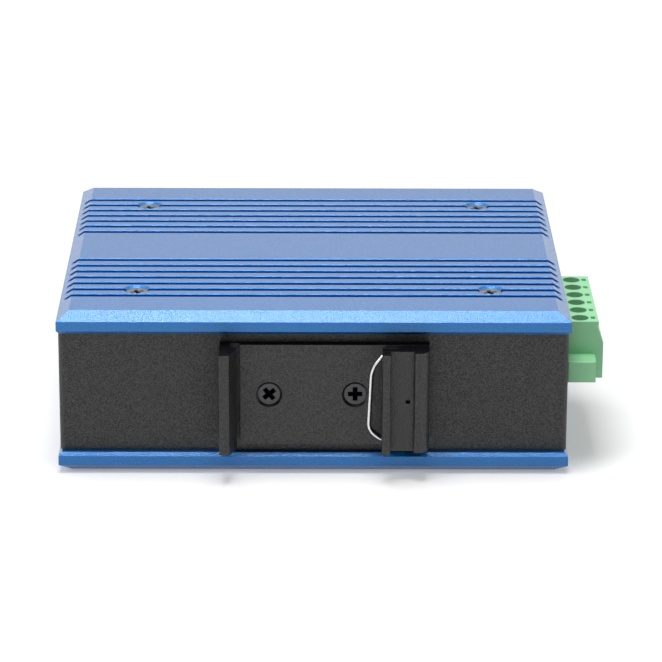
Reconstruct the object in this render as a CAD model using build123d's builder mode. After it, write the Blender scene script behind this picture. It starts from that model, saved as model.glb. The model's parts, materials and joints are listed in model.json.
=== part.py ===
from build123d import *
from math import atan, degrees
import os

os.makedirs("parts", exist_ok=True)

# Body: it lies on its lower panel, X along the long side, Y from the rail clip to the ports
unit_length = 106.0
unit_depth = 93.0
unit_height = 35.0

# Finned panels
panel_thickness = 4.5
panel_bevel_run = 2.6
panel_bevel_rise = 1.75
panel_inner_chamfer = 0.7
groove_width = 1.7
groove_depth = 1.1
groove_edge_break = 0.15
groove_pitch = 4.02
groove_count = 7
inner_groove_offset = 10.1
panel_screw_inset = 16.0
panel_sink_radius = 2.85

# Folded housing
sheet = 1.0
rear_inset = 2.0
end_inset = 0.25
bend_radius = 1.2
flange_width = 22.0
flange_end_gap = 1.0
collar_wall = 0.8
collar_length = 0.9

# Small screws, all of one thread size
thread_radius = 1.25
thread_gap = 0.05
hole_gap = 0.15
head_radius = 2.3
sink_gap = 0.03
cross_length = 3.0
cross_width = 1.0
cross_depth = 1.0
cross_taper = 20.0
pan_height = 1.5
pan_break_share = 0.35
panel_screw_length = 7.0
clip_screw_length = 6.0
board_screw_length = 5.0
cover_screw_length = 4.0

# Front cover
cover_gap = 0.05
cover_return = 12.0
cover_screw_back = 6.0
cover_screw_spacing = 14.0

# Rail clip
clip_end_gap = 2.15
clip_plate = 2.0
clip_left = -19.4
clip_right = 23.9
hook_reach = 6.9
hook_wall = 2.0
hook_tip = 3.6
hook_mouth = 1.7
hook_belly = 0.65
hook_belly_reach = 4.4
clip_edge_break = 0.2
rail_edge = 17.5
rail_groove = 1.1
rail_groove_end = -15.2
clip_screw_x = (-9.2, 8.6)
clip_sink_radius = 2.75

# Sliding jaw
jaw_gap = 0.1
jaw_left = 14.07
jaw_lip_wall = 1.7
jaw_lip_reach = 6.6
jaw_lip_round = 0.4
jaw_step_reach = 4.1
jaw_nose_left = 20.6
jaw_nose_reach = 5.35
jaw_right = 23.8
jaw_nose_round = 2.3
jaw_nose_left_round = 0.5
jaw_mouth = 2.1
jaw_travel = 3.5
jaw_mark_radius = 0.5
jaw_mark_x = 19.4
guide_x = 18.7
guide_inset = 4.1
guide_radius = 1.0
guide_head_radius = 1.8
guide_head = 0.7
guide_depth = 2.2
guide_gap = 0.1

# Spring wire of the jaw
wire_radius = 0.4
wire_gap = 0.1
wire_leg_inset = 1.25
wire_anchor_x = 22.2
wire_anchor_depth = 1.2
wire_channel_gap = 0.3
wire_upper_bend_x = 14.93
wire_bow_upper_x = 11.94
wire_bow_upper_share = 0.604
wire_bow_lower_x = 11.37
wire_bow_lower_share = 0.792
wire_lower_bend_x = 13.96
wire_bend_radii = (0.6, 3.0, 6.0, 3.2, 2.5, 0.6)

# Circuit board
board_level = 0.427
board_thickness = 1.6
board_end_gap = 2.25
board_rear_gap = 1.5
board_front_gap = 1.5
board_hole_inset_x = 3.9
board_hole_inset_y = 2.3
standoff_width = 5.0

# Pluggable terminal
pole_count = 6
pole_pitch = 5.08
terminal_rear_gap = 6.26
plug_rise = 2.0
plug_top_gap = 0.5
plug_reach = 7.75
plug_block_gap = 0.05
plug_knee_share = 0.63
plug_lip_reach = 6.72
plug_lip = 0.9
plug_lip_undercut = 0.27
plug_insert = 9.4
plug_insert_rise = 1.35
plug_insert_height = 6.4
ear_width = 4.85
ear_rise = 0.6
ear_height = 4.7
ear_reach = 6.0
ear_edge_break = 0.25
clamp_screw_reach = 2.95
clamp_hole_radius = 1.8
clamp_head_radius = 1.7
clamp_head = 1.0
clamp_head_sink_share = 0.21
clamp_slot = 0.6
mark_reach = 5.65
mark_length = 0.95
mark_width = 1.5
mark_depth = 0.5
cage_length = 3.6
cage_width = 4.0
cage_height_share = 0.532
cage_rise = 0.7
cage_side = 0.6
cage_top = 1.0
cage_floor = 0.8
cage_gap = 0.15
entry_width = 3.4
entry_height_share = 0.29
contact_thickness = 0.6
contact_width = 2.4
contact_leaf = 0.5
header_wall = 1.0
header_floor = 1.1
header_back = 1.4
header_gap = 0.2
pin_width = 1.0
pin_height = 4.2
pin_reach = 7.6
pin_tail = 1.4
pin_hole_radius = 0.75

# Mode switch
lever_count = 4
lever_pitch = 2.54
switch_gap = 4.76
switch_width = 11.2
switch_height = 6.2
switch_depth = 5.0
switch_setback = 0.5
switch_window = (10.4, 3.8)
lever_width = 1.0
lever_height = 1.3
lever_travel = 1.3
lever_proud = 1.25
lever_root = 1.6
lever_gap = 0.1
lever_edge_break = 0.2

# Earth screw
earth_setback = 12.5
earth_level = 0.2115
earth_radius = 1.5
earth_head_radius = 2.8
earth_head = 2.2
earth_length = 6.0
washer_radius = 3.6
washer_thickness = 0.6

# Copper port
rj45_place = -0.132
rj45_width = 16.0
rj45_top_gap = 1.5
rj45_depth = 21.3
rj45_skin = 0.4
port_gap = 0.2
plug_slot_width = 11.8
plug_slot_height_share = 0.5075
plug_slot_depth = 14.0
plug_slot_rise_share = 0.343
latch_steps = ((6.4, 0.119), (3.4, 0.112))
contact_count = 8
contact_pitch = 1.02
contact_wire = 0.45
contact_run = 10.0
contact_bend = 9.0
contact_tip_in = 2.0
contact_drop = 2.0

# Fibre module port
cage_place = 0.1132
cage_outer_width = 14.8
cage_outer_height = 9.8
cage_depth = 47.0
cage_proud = 0.6
cage_skin = 0.4
socket_width = 11.4
socket_height = 5.4
socket_depth = 8.0
socket_slot_height = 1.5
socket_side = 1.0

# Status lamps
lamp_count = 5
lamp_first_place = -0.3775
lamp_pitch_share = 0.03302
lamp_spacing = 0.1
lamp_collar = 0.25
lamp_rise = 3.4
lamp_length = 5.2
lamp_proud = 1.0
lamp_rim = 0.8
lamp_break = 0.6
lead_width = 0.5
lead_spacing = 1.27
lead_run = 1.6

# Parts soldered on the board, as (length, width, height)
block_break_share = 0.12
switch_chip_size = (14.0, 14.0, 1.4)
switch_chip_place = -0.113
switch_chip_gap = 6.5
phy_chip_size = (7.0, 7.0, 0.9)
phy_chip_place = -0.283
transformer_size = (15.0, 9.0, 6.2)
transformer_gap = 4.7
relay_size = (15.0, 7.5, 10.0)
relay_gap = 4.25
relay_setback = 35.5
crystal_size = (5.0, 3.2, 1.3)
crystal_place = -0.236
crystal_setback = 12.0
inductor_size = (7.3, 7.3, 4.3)
inductor_gap = 5.35
inductor_setbacks = (25.0, 12.0)
capacitor_radius = 4.0
capacitor_height = 10.5
capacitor_break = 0.5
capacitor_gap = 8.75
capacitor_setbacks = (26.0, 14.0)

# Faces that the pieces share
rear_edge = -unit_depth / 2
housing_rear = rear_edge + rear_inset
housing_front = -housing_rear
housing_end = unit_length / 2 - end_inset
housing_inner_end = housing_end - sheet
cavity_bottom = panel_thickness
cavity_top = unit_height - panel_thickness
cavity_height = cavity_top - cavity_bottom
middle_z = unit_height / 2
plate_front = housing_rear - clip_plate
clip_length = cavity_height - 2 * clip_end_gap
clip_bottom = middle_z - clip_length / 2
wire_leg_spacing = clip_length - 2 * wire_leg_inset
guide_spacing = wire_leg_spacing - 2 * guide_inset
panel_screw_x = unit_length / 2 - panel_screw_inset
panel_screw_y = inner_groove_offset + (groove_count - 2) * groove_pitch
panel_screw_spots = [(x, y) for x in (-panel_screw_x, panel_screw_x)
                     for y in (-panel_screw_y, panel_screw_y)]
thread_hole = thread_radius + thread_gap
clearance_hole = thread_radius + hole_gap
collar_radius = thread_hole + collar_wall
board_top = cavity_bottom + board_level * cavity_height
board_bottom = board_top - board_thickness
board_rear = housing_rear + sheet + board_rear_gap
board_front = housing_front - sheet - board_front_gap
board_length = 2 * (housing_inner_end - board_end_gap)
board_hole_x = board_length / 2 - board_hole_inset_x
board_hole_y = board_front - board_hole_inset_y
board_spots = [(x, y) for x in (-board_hole_x, board_hole_x) for y in (-board_hole_y, board_hole_y)]
flange_x = housing_inner_end - flange_width / 2
flange_length = housing_front - housing_rear - 2 * sheet - 2 * flange_end_gap
cover_screw_y = housing_front - cover_screw_back
cover_screw_z = (middle_z - cover_screw_spacing / 2, middle_z + cover_screw_spacing / 2)
cover_screw_spots = [(side, z) for side in (-1, 1) for z in cover_screw_z]
plug_width = pole_count * pole_pitch
header_width = plug_width + 2 * header_gap + 2 * header_wall
terminal_y = housing_rear + sheet + terminal_rear_gap + header_width / 2
plug_bottom = board_top + plug_rise
plug_top = cavity_top - plug_top_gap
plug_height = plug_top - plug_bottom
plug_knee = plug_knee_share * plug_height
plug_face_x = housing_end + plug_reach
plug_lip_x = housing_end + plug_lip_reach
ear_face_x = housing_end + ear_reach
clamp_screw_x = housing_end + clamp_screw_reach
clamp_head_sink = clamp_head_sink_share * plug_height
mark_x = housing_end + mark_reach
cage_height = cage_height_share * plug_height
entry_height = entry_height_share * plug_height
block_left = housing_end + plug_block_gap
insert_bottom = board_top + plug_insert_rise
insert_left = housing_end - plug_insert
header_left = insert_left - header_gap - header_back
header_height = 2 * header_floor + plug_insert_height + 2 * header_gap
pin_z = board_top + pin_height
pole_spots = [terminal_y + (i - (pole_count - 1) / 2) * pole_pitch for i in range(pole_count)]
cage_bottom = plug_bottom + cage_rise
switch_y = terminal_y + header_width / 2 + switch_gap + switch_width / 2
lever_spots = [switch_y + (i - (lever_count - 1) / 2) * lever_pitch for i in range(lever_count)]
switch_face = housing_inner_end - switch_setback
switch_middle = board_top + switch_height / 2
earth_y = cover_screw_y - earth_setback
earth_z = cavity_bottom + earth_level * cavity_height
rj45_x = rj45_place * unit_length
rj45_height = cavity_top - board_top - rj45_top_gap
plug_slot_height = plug_slot_height_share * rj45_height
plug_slot_rise = plug_slot_rise_share * rj45_height
cage_x = cage_place * unit_length
lamp_pitch = lamp_pitch_share * unit_length
lamp_rim_radius = (lamp_pitch - lamp_spacing) / 2
lamp_radius = lamp_rim_radius - lamp_collar
lamp_first_x = lamp_first_place * unit_length
lamp_spots = [lamp_first_x + i * lamp_pitch for i in range(lamp_count)]
lamp_z = board_top + lamp_rise
switch_chip_x = switch_chip_place * unit_length
phy_chip_x = phy_chip_place * unit_length
crystal_x = crystal_place * unit_length
transformer_y = housing_front - rj45_depth - transformer_gap - transformer_size[1] / 2
chip_row_y = transformer_y - transformer_size[1] / 2 - switch_chip_gap - switch_chip_size[1] / 2
crystal_y = chip_row_y - crystal_setback
relay_x = header_left - relay_gap - relay_size[0] / 2
relay_y = board_rear + relay_setback
capacitor_x = header_left - capacitor_gap - capacitor_radius
capacitor_spots = [(capacitor_x, board_rear + setback) for setback in capacitor_setbacks]
inductor_x = capacitor_x - capacitor_radius - inductor_gap - inductor_size[0] / 2
inductor_spots = [(inductor_x, board_rear + setback) for setback in inductor_setbacks]


def end_plane(side, y, z, x=housing_end):
    """A plane on an end wall's outer face, its normal pointing out of the body."""
    return Plane(origin=(side * x, y, z), x_dir=(0, side, 0), z_dir=(side, 0, 0))


def rear_plane(x, z, y=plate_front):
    """A plane that faces the rail, its normal towards -Y."""
    return Plane(origin=(x, y, z), x_dir=(1, 0, 0), z_dir=(0, -1, 0))


def countersunk_screw(length, turn=0.0):
    """A countersunk screw with its flat head at Z = 0 and its shank downwards."""
    with BuildPart() as screw:
        with BuildSketch(Plane.XZ):
            with BuildLine():
                Polyline((0, 0), (head_radius, 0), (thread_radius, thread_radius - head_radius),
                         (thread_radius, -length), (0, -length), close=True)
            make_face()
        revolve(axis=Axis.Z)
        with BuildSketch(Plane.XY):
            Rectangle(cross_length, cross_width, rotation=turn)
            Rectangle(cross_width, cross_length, rotation=turn)
        extrude(amount=-cross_depth, taper=cross_taper, mode=Mode.SUBTRACT)
    return screw.part


def pan_screw(shank_radius, shank_length, radius, height):
    """A pan-head screw with its seat at Z = 0 and its shank downwards."""
    with BuildPart() as screw:
        with BuildSketch(Plane.XY):
            Circle(radius)
        extrude(amount=height)
        chamfer(screw.edges().sort_by(Axis.Z)[-1], height * pan_break_share)
        with BuildSketch(Plane.XY):
            Circle(shank_radius)
        extrude(amount=-shank_length)
        with BuildSketch(Plane.XY.offset(height)):
            Rectangle(cross_length, cross_width)
            Rectangle(cross_width, cross_length)
        extrude(amount=-cross_depth, taper=cross_taper, mode=Mode.SUBTRACT)
    return screw.part


def fin_panel(inner):
    """A finned panel that grows outwards from the plane of its inner face."""
    edge_height = panel_thickness - panel_bevel_rise
    bevel_angle = degrees(atan(panel_bevel_run / panel_bevel_rise))
    with BuildPart() as panel:
        with BuildSketch(inner):
            Rectangle(unit_length, unit_depth)
        extrude(amount=edge_height)
        inner_face = panel.faces().sort_by(Axis(inner.origin, inner.z_dir))[0]
        chamfer(inner_face.edges(), panel_inner_chamfer)
        with BuildSketch(inner.offset(edge_height)):
            Rectangle(unit_length, unit_depth)
        extrude(amount=panel_bevel_rise, taper=bevel_angle)

        # Grooves run the whole length and come out through the end bevels
        half = groove_width / 2
        side_plane = Plane(origin=inner.origin - inner.x_dir * unit_length / 2,
                           x_dir=inner.y_dir, z_dir=inner.x_dir)
        outer_y = panel_thickness
        with BuildSketch(side_plane):
            for i in range(groove_count):
                for side in (-1, 1):
                    middle = side * (inner_groove_offset + i * groove_pitch)
                    with BuildLine():
                        Polyline((middle - half - groove_edge_break, outer_y),
                                 (middle - half, outer_y - groove_edge_break),
                                 (middle - half, outer_y - groove_depth),
                                 (middle + half, outer_y - groove_depth),
                                 (middle + half, outer_y - groove_edge_break),
                                 (middle + half + groove_edge_break, outer_y), close=True)
                    make_face()
        extrude(amount=unit_length, mode=Mode.SUBTRACT)
        with Locations(inner.offset(panel_thickness)):
            with GridLocations(2 * panel_screw_x, 2 * panel_screw_y, 2, 2):
                CounterSinkHole(clearance_hole, panel_sink_radius, counter_sink_angle=90)
    return panel.part


# Finned panels above and below
upper_fin_panel = fin_panel(Plane.XY.offset(cavity_top))
upper_fin_panel.label = "upper_fin_panel"
export_step(upper_fin_panel, "parts/upper_fin_panel.step")

lower_inner = Plane(origin=(0, 0, cavity_bottom), x_dir=(1, 0, 0), z_dir=(0, 0, -1))
lower_fin_panel = fin_panel(lower_inner)
lower_fin_panel.label = "lower_fin_panel"
export_step(lower_fin_panel, "parts/lower_fin_panel.step")

# Panel screws, sunk in the grooves
panel_screw = countersunk_screw(panel_screw_length, turn=20)
panel_head_sink = panel_sink_radius - head_radius - sink_gap

with BuildPart() as upper_panel_screws:
    with Locations(*[(x, y, unit_height - panel_head_sink) for x, y in panel_screw_spots]):
        add(panel_screw)
upper_panel_screws.part.label = "upper_panel_screws"
export_step(upper_panel_screws.part, "parts/upper_panel_screws.step")

with BuildPart() as lower_panel_screws:
    with Locations(*[Plane(origin=(x, y, panel_head_sink), z_dir=(0, 0, -1)) for x, y in panel_screw_spots]):
        add(panel_screw)
lower_panel_screws.part.label = "lower_panel_screws"
export_step(lower_panel_screws.part, "parts/lower_panel_screws.step")

# Housing: back and ends folded from one sheet, with flanges that take the panel screws
with BuildPart() as housing_shell:
    with BuildSketch(Plane.XY.offset(cavity_bottom)) as wrap:
        Rectangle(2 * housing_end, housing_front - housing_rear)
        fillet(wrap.vertices().group_by(Axis.Y)[0], bend_radius)
        with Locations((0, sheet)):
            Rectangle(2 * housing_inner_end, housing_front - housing_rear, mode=Mode.SUBTRACT)
    extrude(amount=cavity_height)
    for flange_bottom in (cavity_bottom, cavity_top - sheet):
        with BuildSketch(Plane.XY.offset(flange_bottom)):
            with Locations((-flange_x, 0), (flange_x, 0)):
                Rectangle(flange_width, flange_length)
        extrude(amount=sheet)
    for collar_start, collar_way in ((cavity_bottom + sheet, 1), (cavity_top - sheet, -1)):
        with BuildSketch(Plane.XY.offset(collar_start)):
            with Locations(*panel_screw_spots):
                Circle(collar_radius)
        extrude(amount=collar_way * collar_length)
    with Locations(Plane.XY.offset(cavity_top)):
        with GridLocations(2 * panel_screw_x, 2 * panel_screw_y, 2, 2):
            Hole(thread_hole)
    # Holes for the board's standoffs, through the lower flanges
    with BuildSketch(Plane.XY.offset(cavity_bottom)):
        with Locations(*board_spots):
            Circle(thread_hole)
    extrude(amount=sheet, mode=Mode.SUBTRACT)
    # Threaded collars for the clip screws
    with BuildSketch(Plane.XZ.offset(-housing_rear - sheet)):
        with Locations(*[(x, middle_z) for x in clip_screw_x]):
            Circle(collar_radius)
    extrude(amount=-collar_length)
    with Locations(*[rear_plane(x, middle_z, housing_rear) for x in clip_screw_x]):
        Hole(thread_hole, depth=sheet + collar_length)
    # Cover screw holes, terminal cut-out, switch window and earth screw hole
    with Locations(*[end_plane(side, cover_screw_y, z) for side, z in cover_screw_spots]):
        Hole(clearance_hole, depth=sheet)
    with BuildSketch(Plane.YZ.offset(housing_end)):
        with Locations((terminal_y, board_top + header_height / 2)):
            Rectangle(header_width + 2 * header_gap, header_height + 2 * header_gap)
        with Locations((switch_y, switch_middle)):
            Rectangle(*switch_window)
        with Locations((earth_y, earth_z)):
            Circle(earth_radius + thread_gap)
    extrude(amount=-sheet, mode=Mode.SUBTRACT)
housing_shell.part.label = "housing_shell"
export_step(housing_shell.part, "parts/housing_shell.step")

# Front cover: a sheet with side returns, cut out for the ports and lamps
cover_half = housing_inner_end - cover_gap
with BuildPart() as front_cover:
    with BuildSketch(Plane.XZ.offset(-housing_front)):
        with Locations((0, middle_z)):
            Rectangle(2 * cover_half, cavity_height)
        with Locations((rj45_x, board_top + rj45_height / 2)):
            Rectangle(rj45_width + 2 * port_gap, rj45_height + 2 * port_gap, mode=Mode.SUBTRACT)
        with Locations((cage_x, board_top + cage_outer_height / 2)):
            Rectangle(cage_outer_width + 2 * port_gap, cage_outer_height + 2 * port_gap, mode=Mode.SUBTRACT)
        with Locations(*[(x, lamp_z) for x in lamp_spots]):
            Circle(lamp_radius + hole_gap, mode=Mode.SUBTRACT)
    extrude(amount=sheet)
    return_height = cavity_height - 2 * sheet - 4 * cover_gap
    for side in (-1, 1):
        with BuildSketch(Plane.XZ.offset(sheet - housing_front)):
            with Locations((side * (cover_half - sheet / 2), middle_z)):
                Rectangle(sheet, return_height)
        extrude(amount=cover_return)
    with Locations(*[end_plane(side, cover_screw_y, z, cover_half) for side, z in cover_screw_spots]):
        Hole(thread_hole, depth=sheet)
front_cover.part.label = "front_cover"
export_step(front_cover.part, "parts/front_cover.step")

cover_screw = pan_screw(thread_radius, cover_screw_length, head_radius, pan_height)
with BuildPart() as cover_screws:
    with Locations(*[end_plane(side, cover_screw_y, z) for side, z in cover_screw_spots]):
        add(cover_screw)
cover_screws.part.label = "cover_screws"
export_step(cover_screws.part, "parts/cover_screws.step")

# Rail clip base: plate and fixed hook, cut from one extruded bar
with BuildPart() as clip_base:
    hook_inner = clip_left + hook_wall
    tip_x = clip_left + hook_tip
    with BuildSketch(Plane.XY.offset(clip_bottom)):
        with BuildLine():
            Polyline((clip_left, housing_rear), (clip_right, housing_rear), (clip_right, plate_front),
                     (rail_groove_end, plate_front), (rail_groove_end, plate_front + rail_groove),
                     (-rail_edge, plate_front + rail_groove), (-rail_edge, plate_front - hook_mouth),
                     (tip_x, plate_front - hook_mouth),
                     (tip_x - hook_belly, plate_front - hook_belly_reach),
                     (hook_inner, plate_front - hook_reach), (clip_left, plate_front - hook_reach),
                     close=True)
        make_face()
    extrude(amount=clip_length)
    front_edges = clip_base.edges().filter_by(Axis.Z).group_by(Axis.Y)[0]
    chamfer(front_edges, clip_edge_break)
    with Locations(*[rear_plane(x, middle_z) for x in clip_screw_x]):
        CounterSinkHole(clearance_hole, clip_sink_radius, depth=clip_plate, counter_sink_angle=90)
    # Slots for the jaw's guide pins, each with a wider recess behind for the pin's head
    slot_end = guide_x + jaw_travel
    for z in (middle_z - guide_spacing / 2, middle_z + guide_spacing / 2):
        with BuildSketch(Plane.XZ.offset(-housing_rear)):
            with Locations(((guide_x + slot_end) / 2, z)):
                SlotCenterToCenter(jaw_travel, 2 * (guide_radius + guide_gap))
        extrude(amount=clip_plate, mode=Mode.SUBTRACT)
        recess_left = guide_x - guide_head_radius - guide_gap
        with BuildSketch(Plane.XZ.offset(-housing_rear)):
            with Locations(((recess_left + clip_right) / 2, z)):
                Rectangle(clip_right - recess_left, 2 * (guide_head_radius + guide_gap))
        extrude(amount=guide_head + 2 * guide_gap, mode=Mode.SUBTRACT)
    # Anchor holes for the spring wire
    for z in (middle_z - wire_leg_spacing / 2, middle_z + wire_leg_spacing / 2):
        with Locations(rear_plane(wire_anchor_x, z)):
            Hole(wire_radius + wire_gap, depth=wire_anchor_depth + wire_gap)
clip_base.part.label = "clip_base"
export_step(clip_base.part, "parts/clip_base.step")

clip_head_sink = clip_sink_radius - head_radius - sink_gap
left_clip_screw = countersunk_screw(clip_screw_length, turn=40)
right_clip_screw = countersunk_screw(clip_screw_length)
with BuildPart() as clip_screws:
    with Locations(rear_plane(clip_screw_x[0], middle_z, plate_front + clip_head_sink)):
        add(left_clip_screw)
    with Locations(rear_plane(clip_screw_x[1], middle_z, plate_front + clip_head_sink)):
        add(right_clip_screw)
clip_screws.part.label = "clip_screws"
export_step(clip_screws.part, "parts/clip_screws.step")

# Sliding jaw: lip, flat and rounded nose, open underneath for the rail's edge
jaw_back = plate_front - jaw_gap
with BuildPart() as rail_jaw:
    with BuildSketch(Plane.XY.offset(clip_bottom)) as jaw_section:
        lip_right = jaw_left + jaw_lip_wall
        with BuildLine():
            Polyline((rail_edge, jaw_back), (jaw_right, jaw_back), (jaw_right, plate_front - jaw_nose_reach),
                     (jaw_nose_left, plate_front - jaw_nose_reach),
                     (jaw_nose_left, plate_front - jaw_step_reach),
                     (lip_right, plate_front - jaw_step_reach), (lip_right, plate_front - jaw_lip_reach),
                     (jaw_left, plate_front - jaw_lip_reach), (jaw_left, plate_front - jaw_mouth),
                     (rail_edge, plate_front - jaw_mouth), close=True)
        make_face()
        fillet(jaw_section.vertices().group_by(Axis.Y)[0], jaw_lip_round)
        nose_y = plate_front - jaw_nose_reach
        for corner_x, corner_round in ((jaw_nose_left, jaw_nose_left_round), (jaw_right, jaw_nose_round)):
            corner = jaw_section.vertices().sort_by_distance((corner_x, nose_y))[0]
            fillet(corner, corner_round)
    extrude(amount=clip_length)
    # Channels under the jaw that clear the spring's legs
    for z in (middle_z - wire_leg_spacing / 2, middle_z + wire_leg_spacing / 2):
        with BuildSketch(Plane.XZ.offset(-jaw_back)):
            with Locations(((rail_edge + jaw_right) / 2, z)):
                Rectangle(jaw_right - rail_edge, 2 * (wire_radius + wire_channel_gap))
        extrude(amount=2 * wire_radius + wire_channel_gap, mode=Mode.SUBTRACT)
    # Blind holes for the guide pins
    for z in (middle_z - guide_spacing / 2, middle_z + guide_spacing / 2):
        with BuildSketch(Plane.XZ.offset(-jaw_back)):
            with Locations((guide_x, z)):
                Circle(guide_radius + thread_gap)
        extrude(amount=guide_depth, mode=Mode.SUBTRACT)
    with Locations(rear_plane(jaw_mark_x, middle_z, plate_front - jaw_step_reach)):
        Hole(jaw_mark_radius, depth=2 * jaw_mark_radius)
rail_jaw.part.label = "rail_jaw"
export_step(rail_jaw.part, "parts/rail_jaw.step")

# Guide pins that hold the jaw on the plate
with BuildPart() as guide_pins:
    head_back = housing_rear - guide_gap
    for z in (middle_z - guide_spacing / 2, middle_z + guide_spacing / 2):
        with BuildSketch(Plane.XZ.offset(-head_back)):
            with Locations((guide_x, z)):
                Circle(guide_head_radius)
        extrude(amount=guide_head)
        with BuildSketch(Plane.XZ.offset(guide_head - head_back)):
            with Locations((guide_x, z)):
                Circle(guide_radius)
        extrude(amount=head_back - guide_head - jaw_back + guide_depth)
guide_pins.part.label = "guide_pins"
export_step(guide_pins.part, "parts/guide_pins.step")

# Spring wire: a bow beside the right screw, its legs under the jaw and its ends in the plate
wire_y = plate_front - wire_gap - wire_radius
wire_end_y = plate_front + wire_anchor_depth
leg = wire_leg_spacing / 2
bow_points = [(wire_anchor_x, wire_end_y, middle_z + leg), (wire_anchor_x, wire_y, middle_z + leg),
              (wire_upper_bend_x, wire_y, middle_z + leg),
              (wire_bow_upper_x, wire_y, middle_z + wire_bow_upper_share * leg),
              (wire_bow_lower_x, wire_y, middle_z - wire_bow_lower_share * leg),
              (wire_lower_bend_x, wire_y, middle_z - leg),
              (wire_anchor_x, wire_y, middle_z - leg), (wire_anchor_x, wire_end_y, middle_z - leg)]
with BuildPart() as jaw_spring:
    with BuildLine() as bow:
        FilletPolyline(*bow_points, radius=list(wire_bend_radii))
    with BuildSketch(Plane(origin=bow_points[0], z_dir=(0, -1, 0))):
        Circle(wire_radius)
    sweep(path=bow.wire())
jaw_spring.part.label = "jaw_spring"
export_step(jaw_spring.part, "parts/jaw_spring.step")

# Circuit board with its standoffs and screws
with BuildPart() as circuit_board:
    with BuildSketch(Plane.XY.offset(board_bottom)):
        with Locations((0, (board_rear + board_front) / 2)):
            Rectangle(board_length, board_front - board_rear)
        with Locations(*board_spots):
            Circle(clearance_hole, mode=Mode.SUBTRACT)
        with Locations(*[(header_left - pin_width / 2, y) for y in pole_spots]):
            Circle(pin_hole_radius, mode=Mode.SUBTRACT)
    extrude(amount=board_thickness)
circuit_board.part.label = "circuit_board"
export_step(circuit_board.part, "parts/circuit_board.step")

with BuildPart() as board_standoffs:
    with BuildSketch(Plane.XY.offset(cavity_bottom + sheet)):
        with Locations(*board_spots):
            RegularPolygon(standoff_width / 2, 6, major_radius=False)
    extrude(amount=board_bottom - cavity_bottom - sheet)
    with BuildSketch(Plane.XY.offset(cavity_bottom)):
        with Locations(*board_spots):
            Circle(thread_radius)
    extrude(amount=sheet)
    with BuildSketch(Plane.XY.offset(board_bottom)):
        with Locations(*board_spots):
            Circle(thread_hole)
    extrude(amount=-board_screw_length, mode=Mode.SUBTRACT)
board_standoffs.part.label = "board_standoffs"
export_step(board_standoffs.part, "parts/board_standoffs.step")

board_screw = pan_screw(thread_radius, board_screw_length, head_radius, pan_height)
with BuildPart() as board_screws:
    with Locations(*[(x, y, board_top) for x, y in board_spots]):
        add(board_screw)
board_screws.part.label = "board_screws"
export_step(board_screws.part, "parts/board_screws.step")

# Terminal header on the board, its mouth through the end wall
header_middle = board_top + header_height / 2
with BuildPart() as terminal_header:
    with BuildSketch(Plane.YZ.offset(header_left)):
        with Locations((terminal_y, header_middle)):
            Rectangle(header_width, header_height)
    extrude(amount=housing_end - header_left)
    with BuildSketch(Plane.YZ.offset(housing_end)):
        with Locations((terminal_y, header_middle)):
            Rectangle(header_width - 2 * header_wall, header_height - 2 * header_floor)
    extrude(amount=header_left + header_back - housing_end, mode=Mode.SUBTRACT)
    with BuildSketch(Plane.YZ.offset(header_left)):
        with Locations(*[(y, pin_z) for y in pole_spots]):
            Rectangle(pin_width, pin_width)
    extrude(amount=header_back, mode=Mode.SUBTRACT)
terminal_header.part.label = "terminal_header"
export_step(terminal_header.part, "parts/terminal_header.step")

with BuildPart() as header_pins:
    pin_left = header_left - pin_width
    pin_right = header_left + header_back + pin_reach
    pin_low = board_bottom - pin_tail
    for y in pole_spots:
        with BuildSketch(Plane.XZ.offset(-y - pin_width / 2)):
            with BuildLine():
                Polyline((pin_left, pin_low), (header_left, pin_low), (header_left, pin_z - pin_width / 2),
                         (pin_right, pin_z - pin_width / 2), (pin_right, pin_z + pin_width / 2),
                         (pin_left, pin_z + pin_width / 2), close=True)
            make_face()
        extrude(amount=pin_width)
header_pins.part.label = "header_pins"
export_step(header_pins.part, "parts/header_pins.step")

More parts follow.
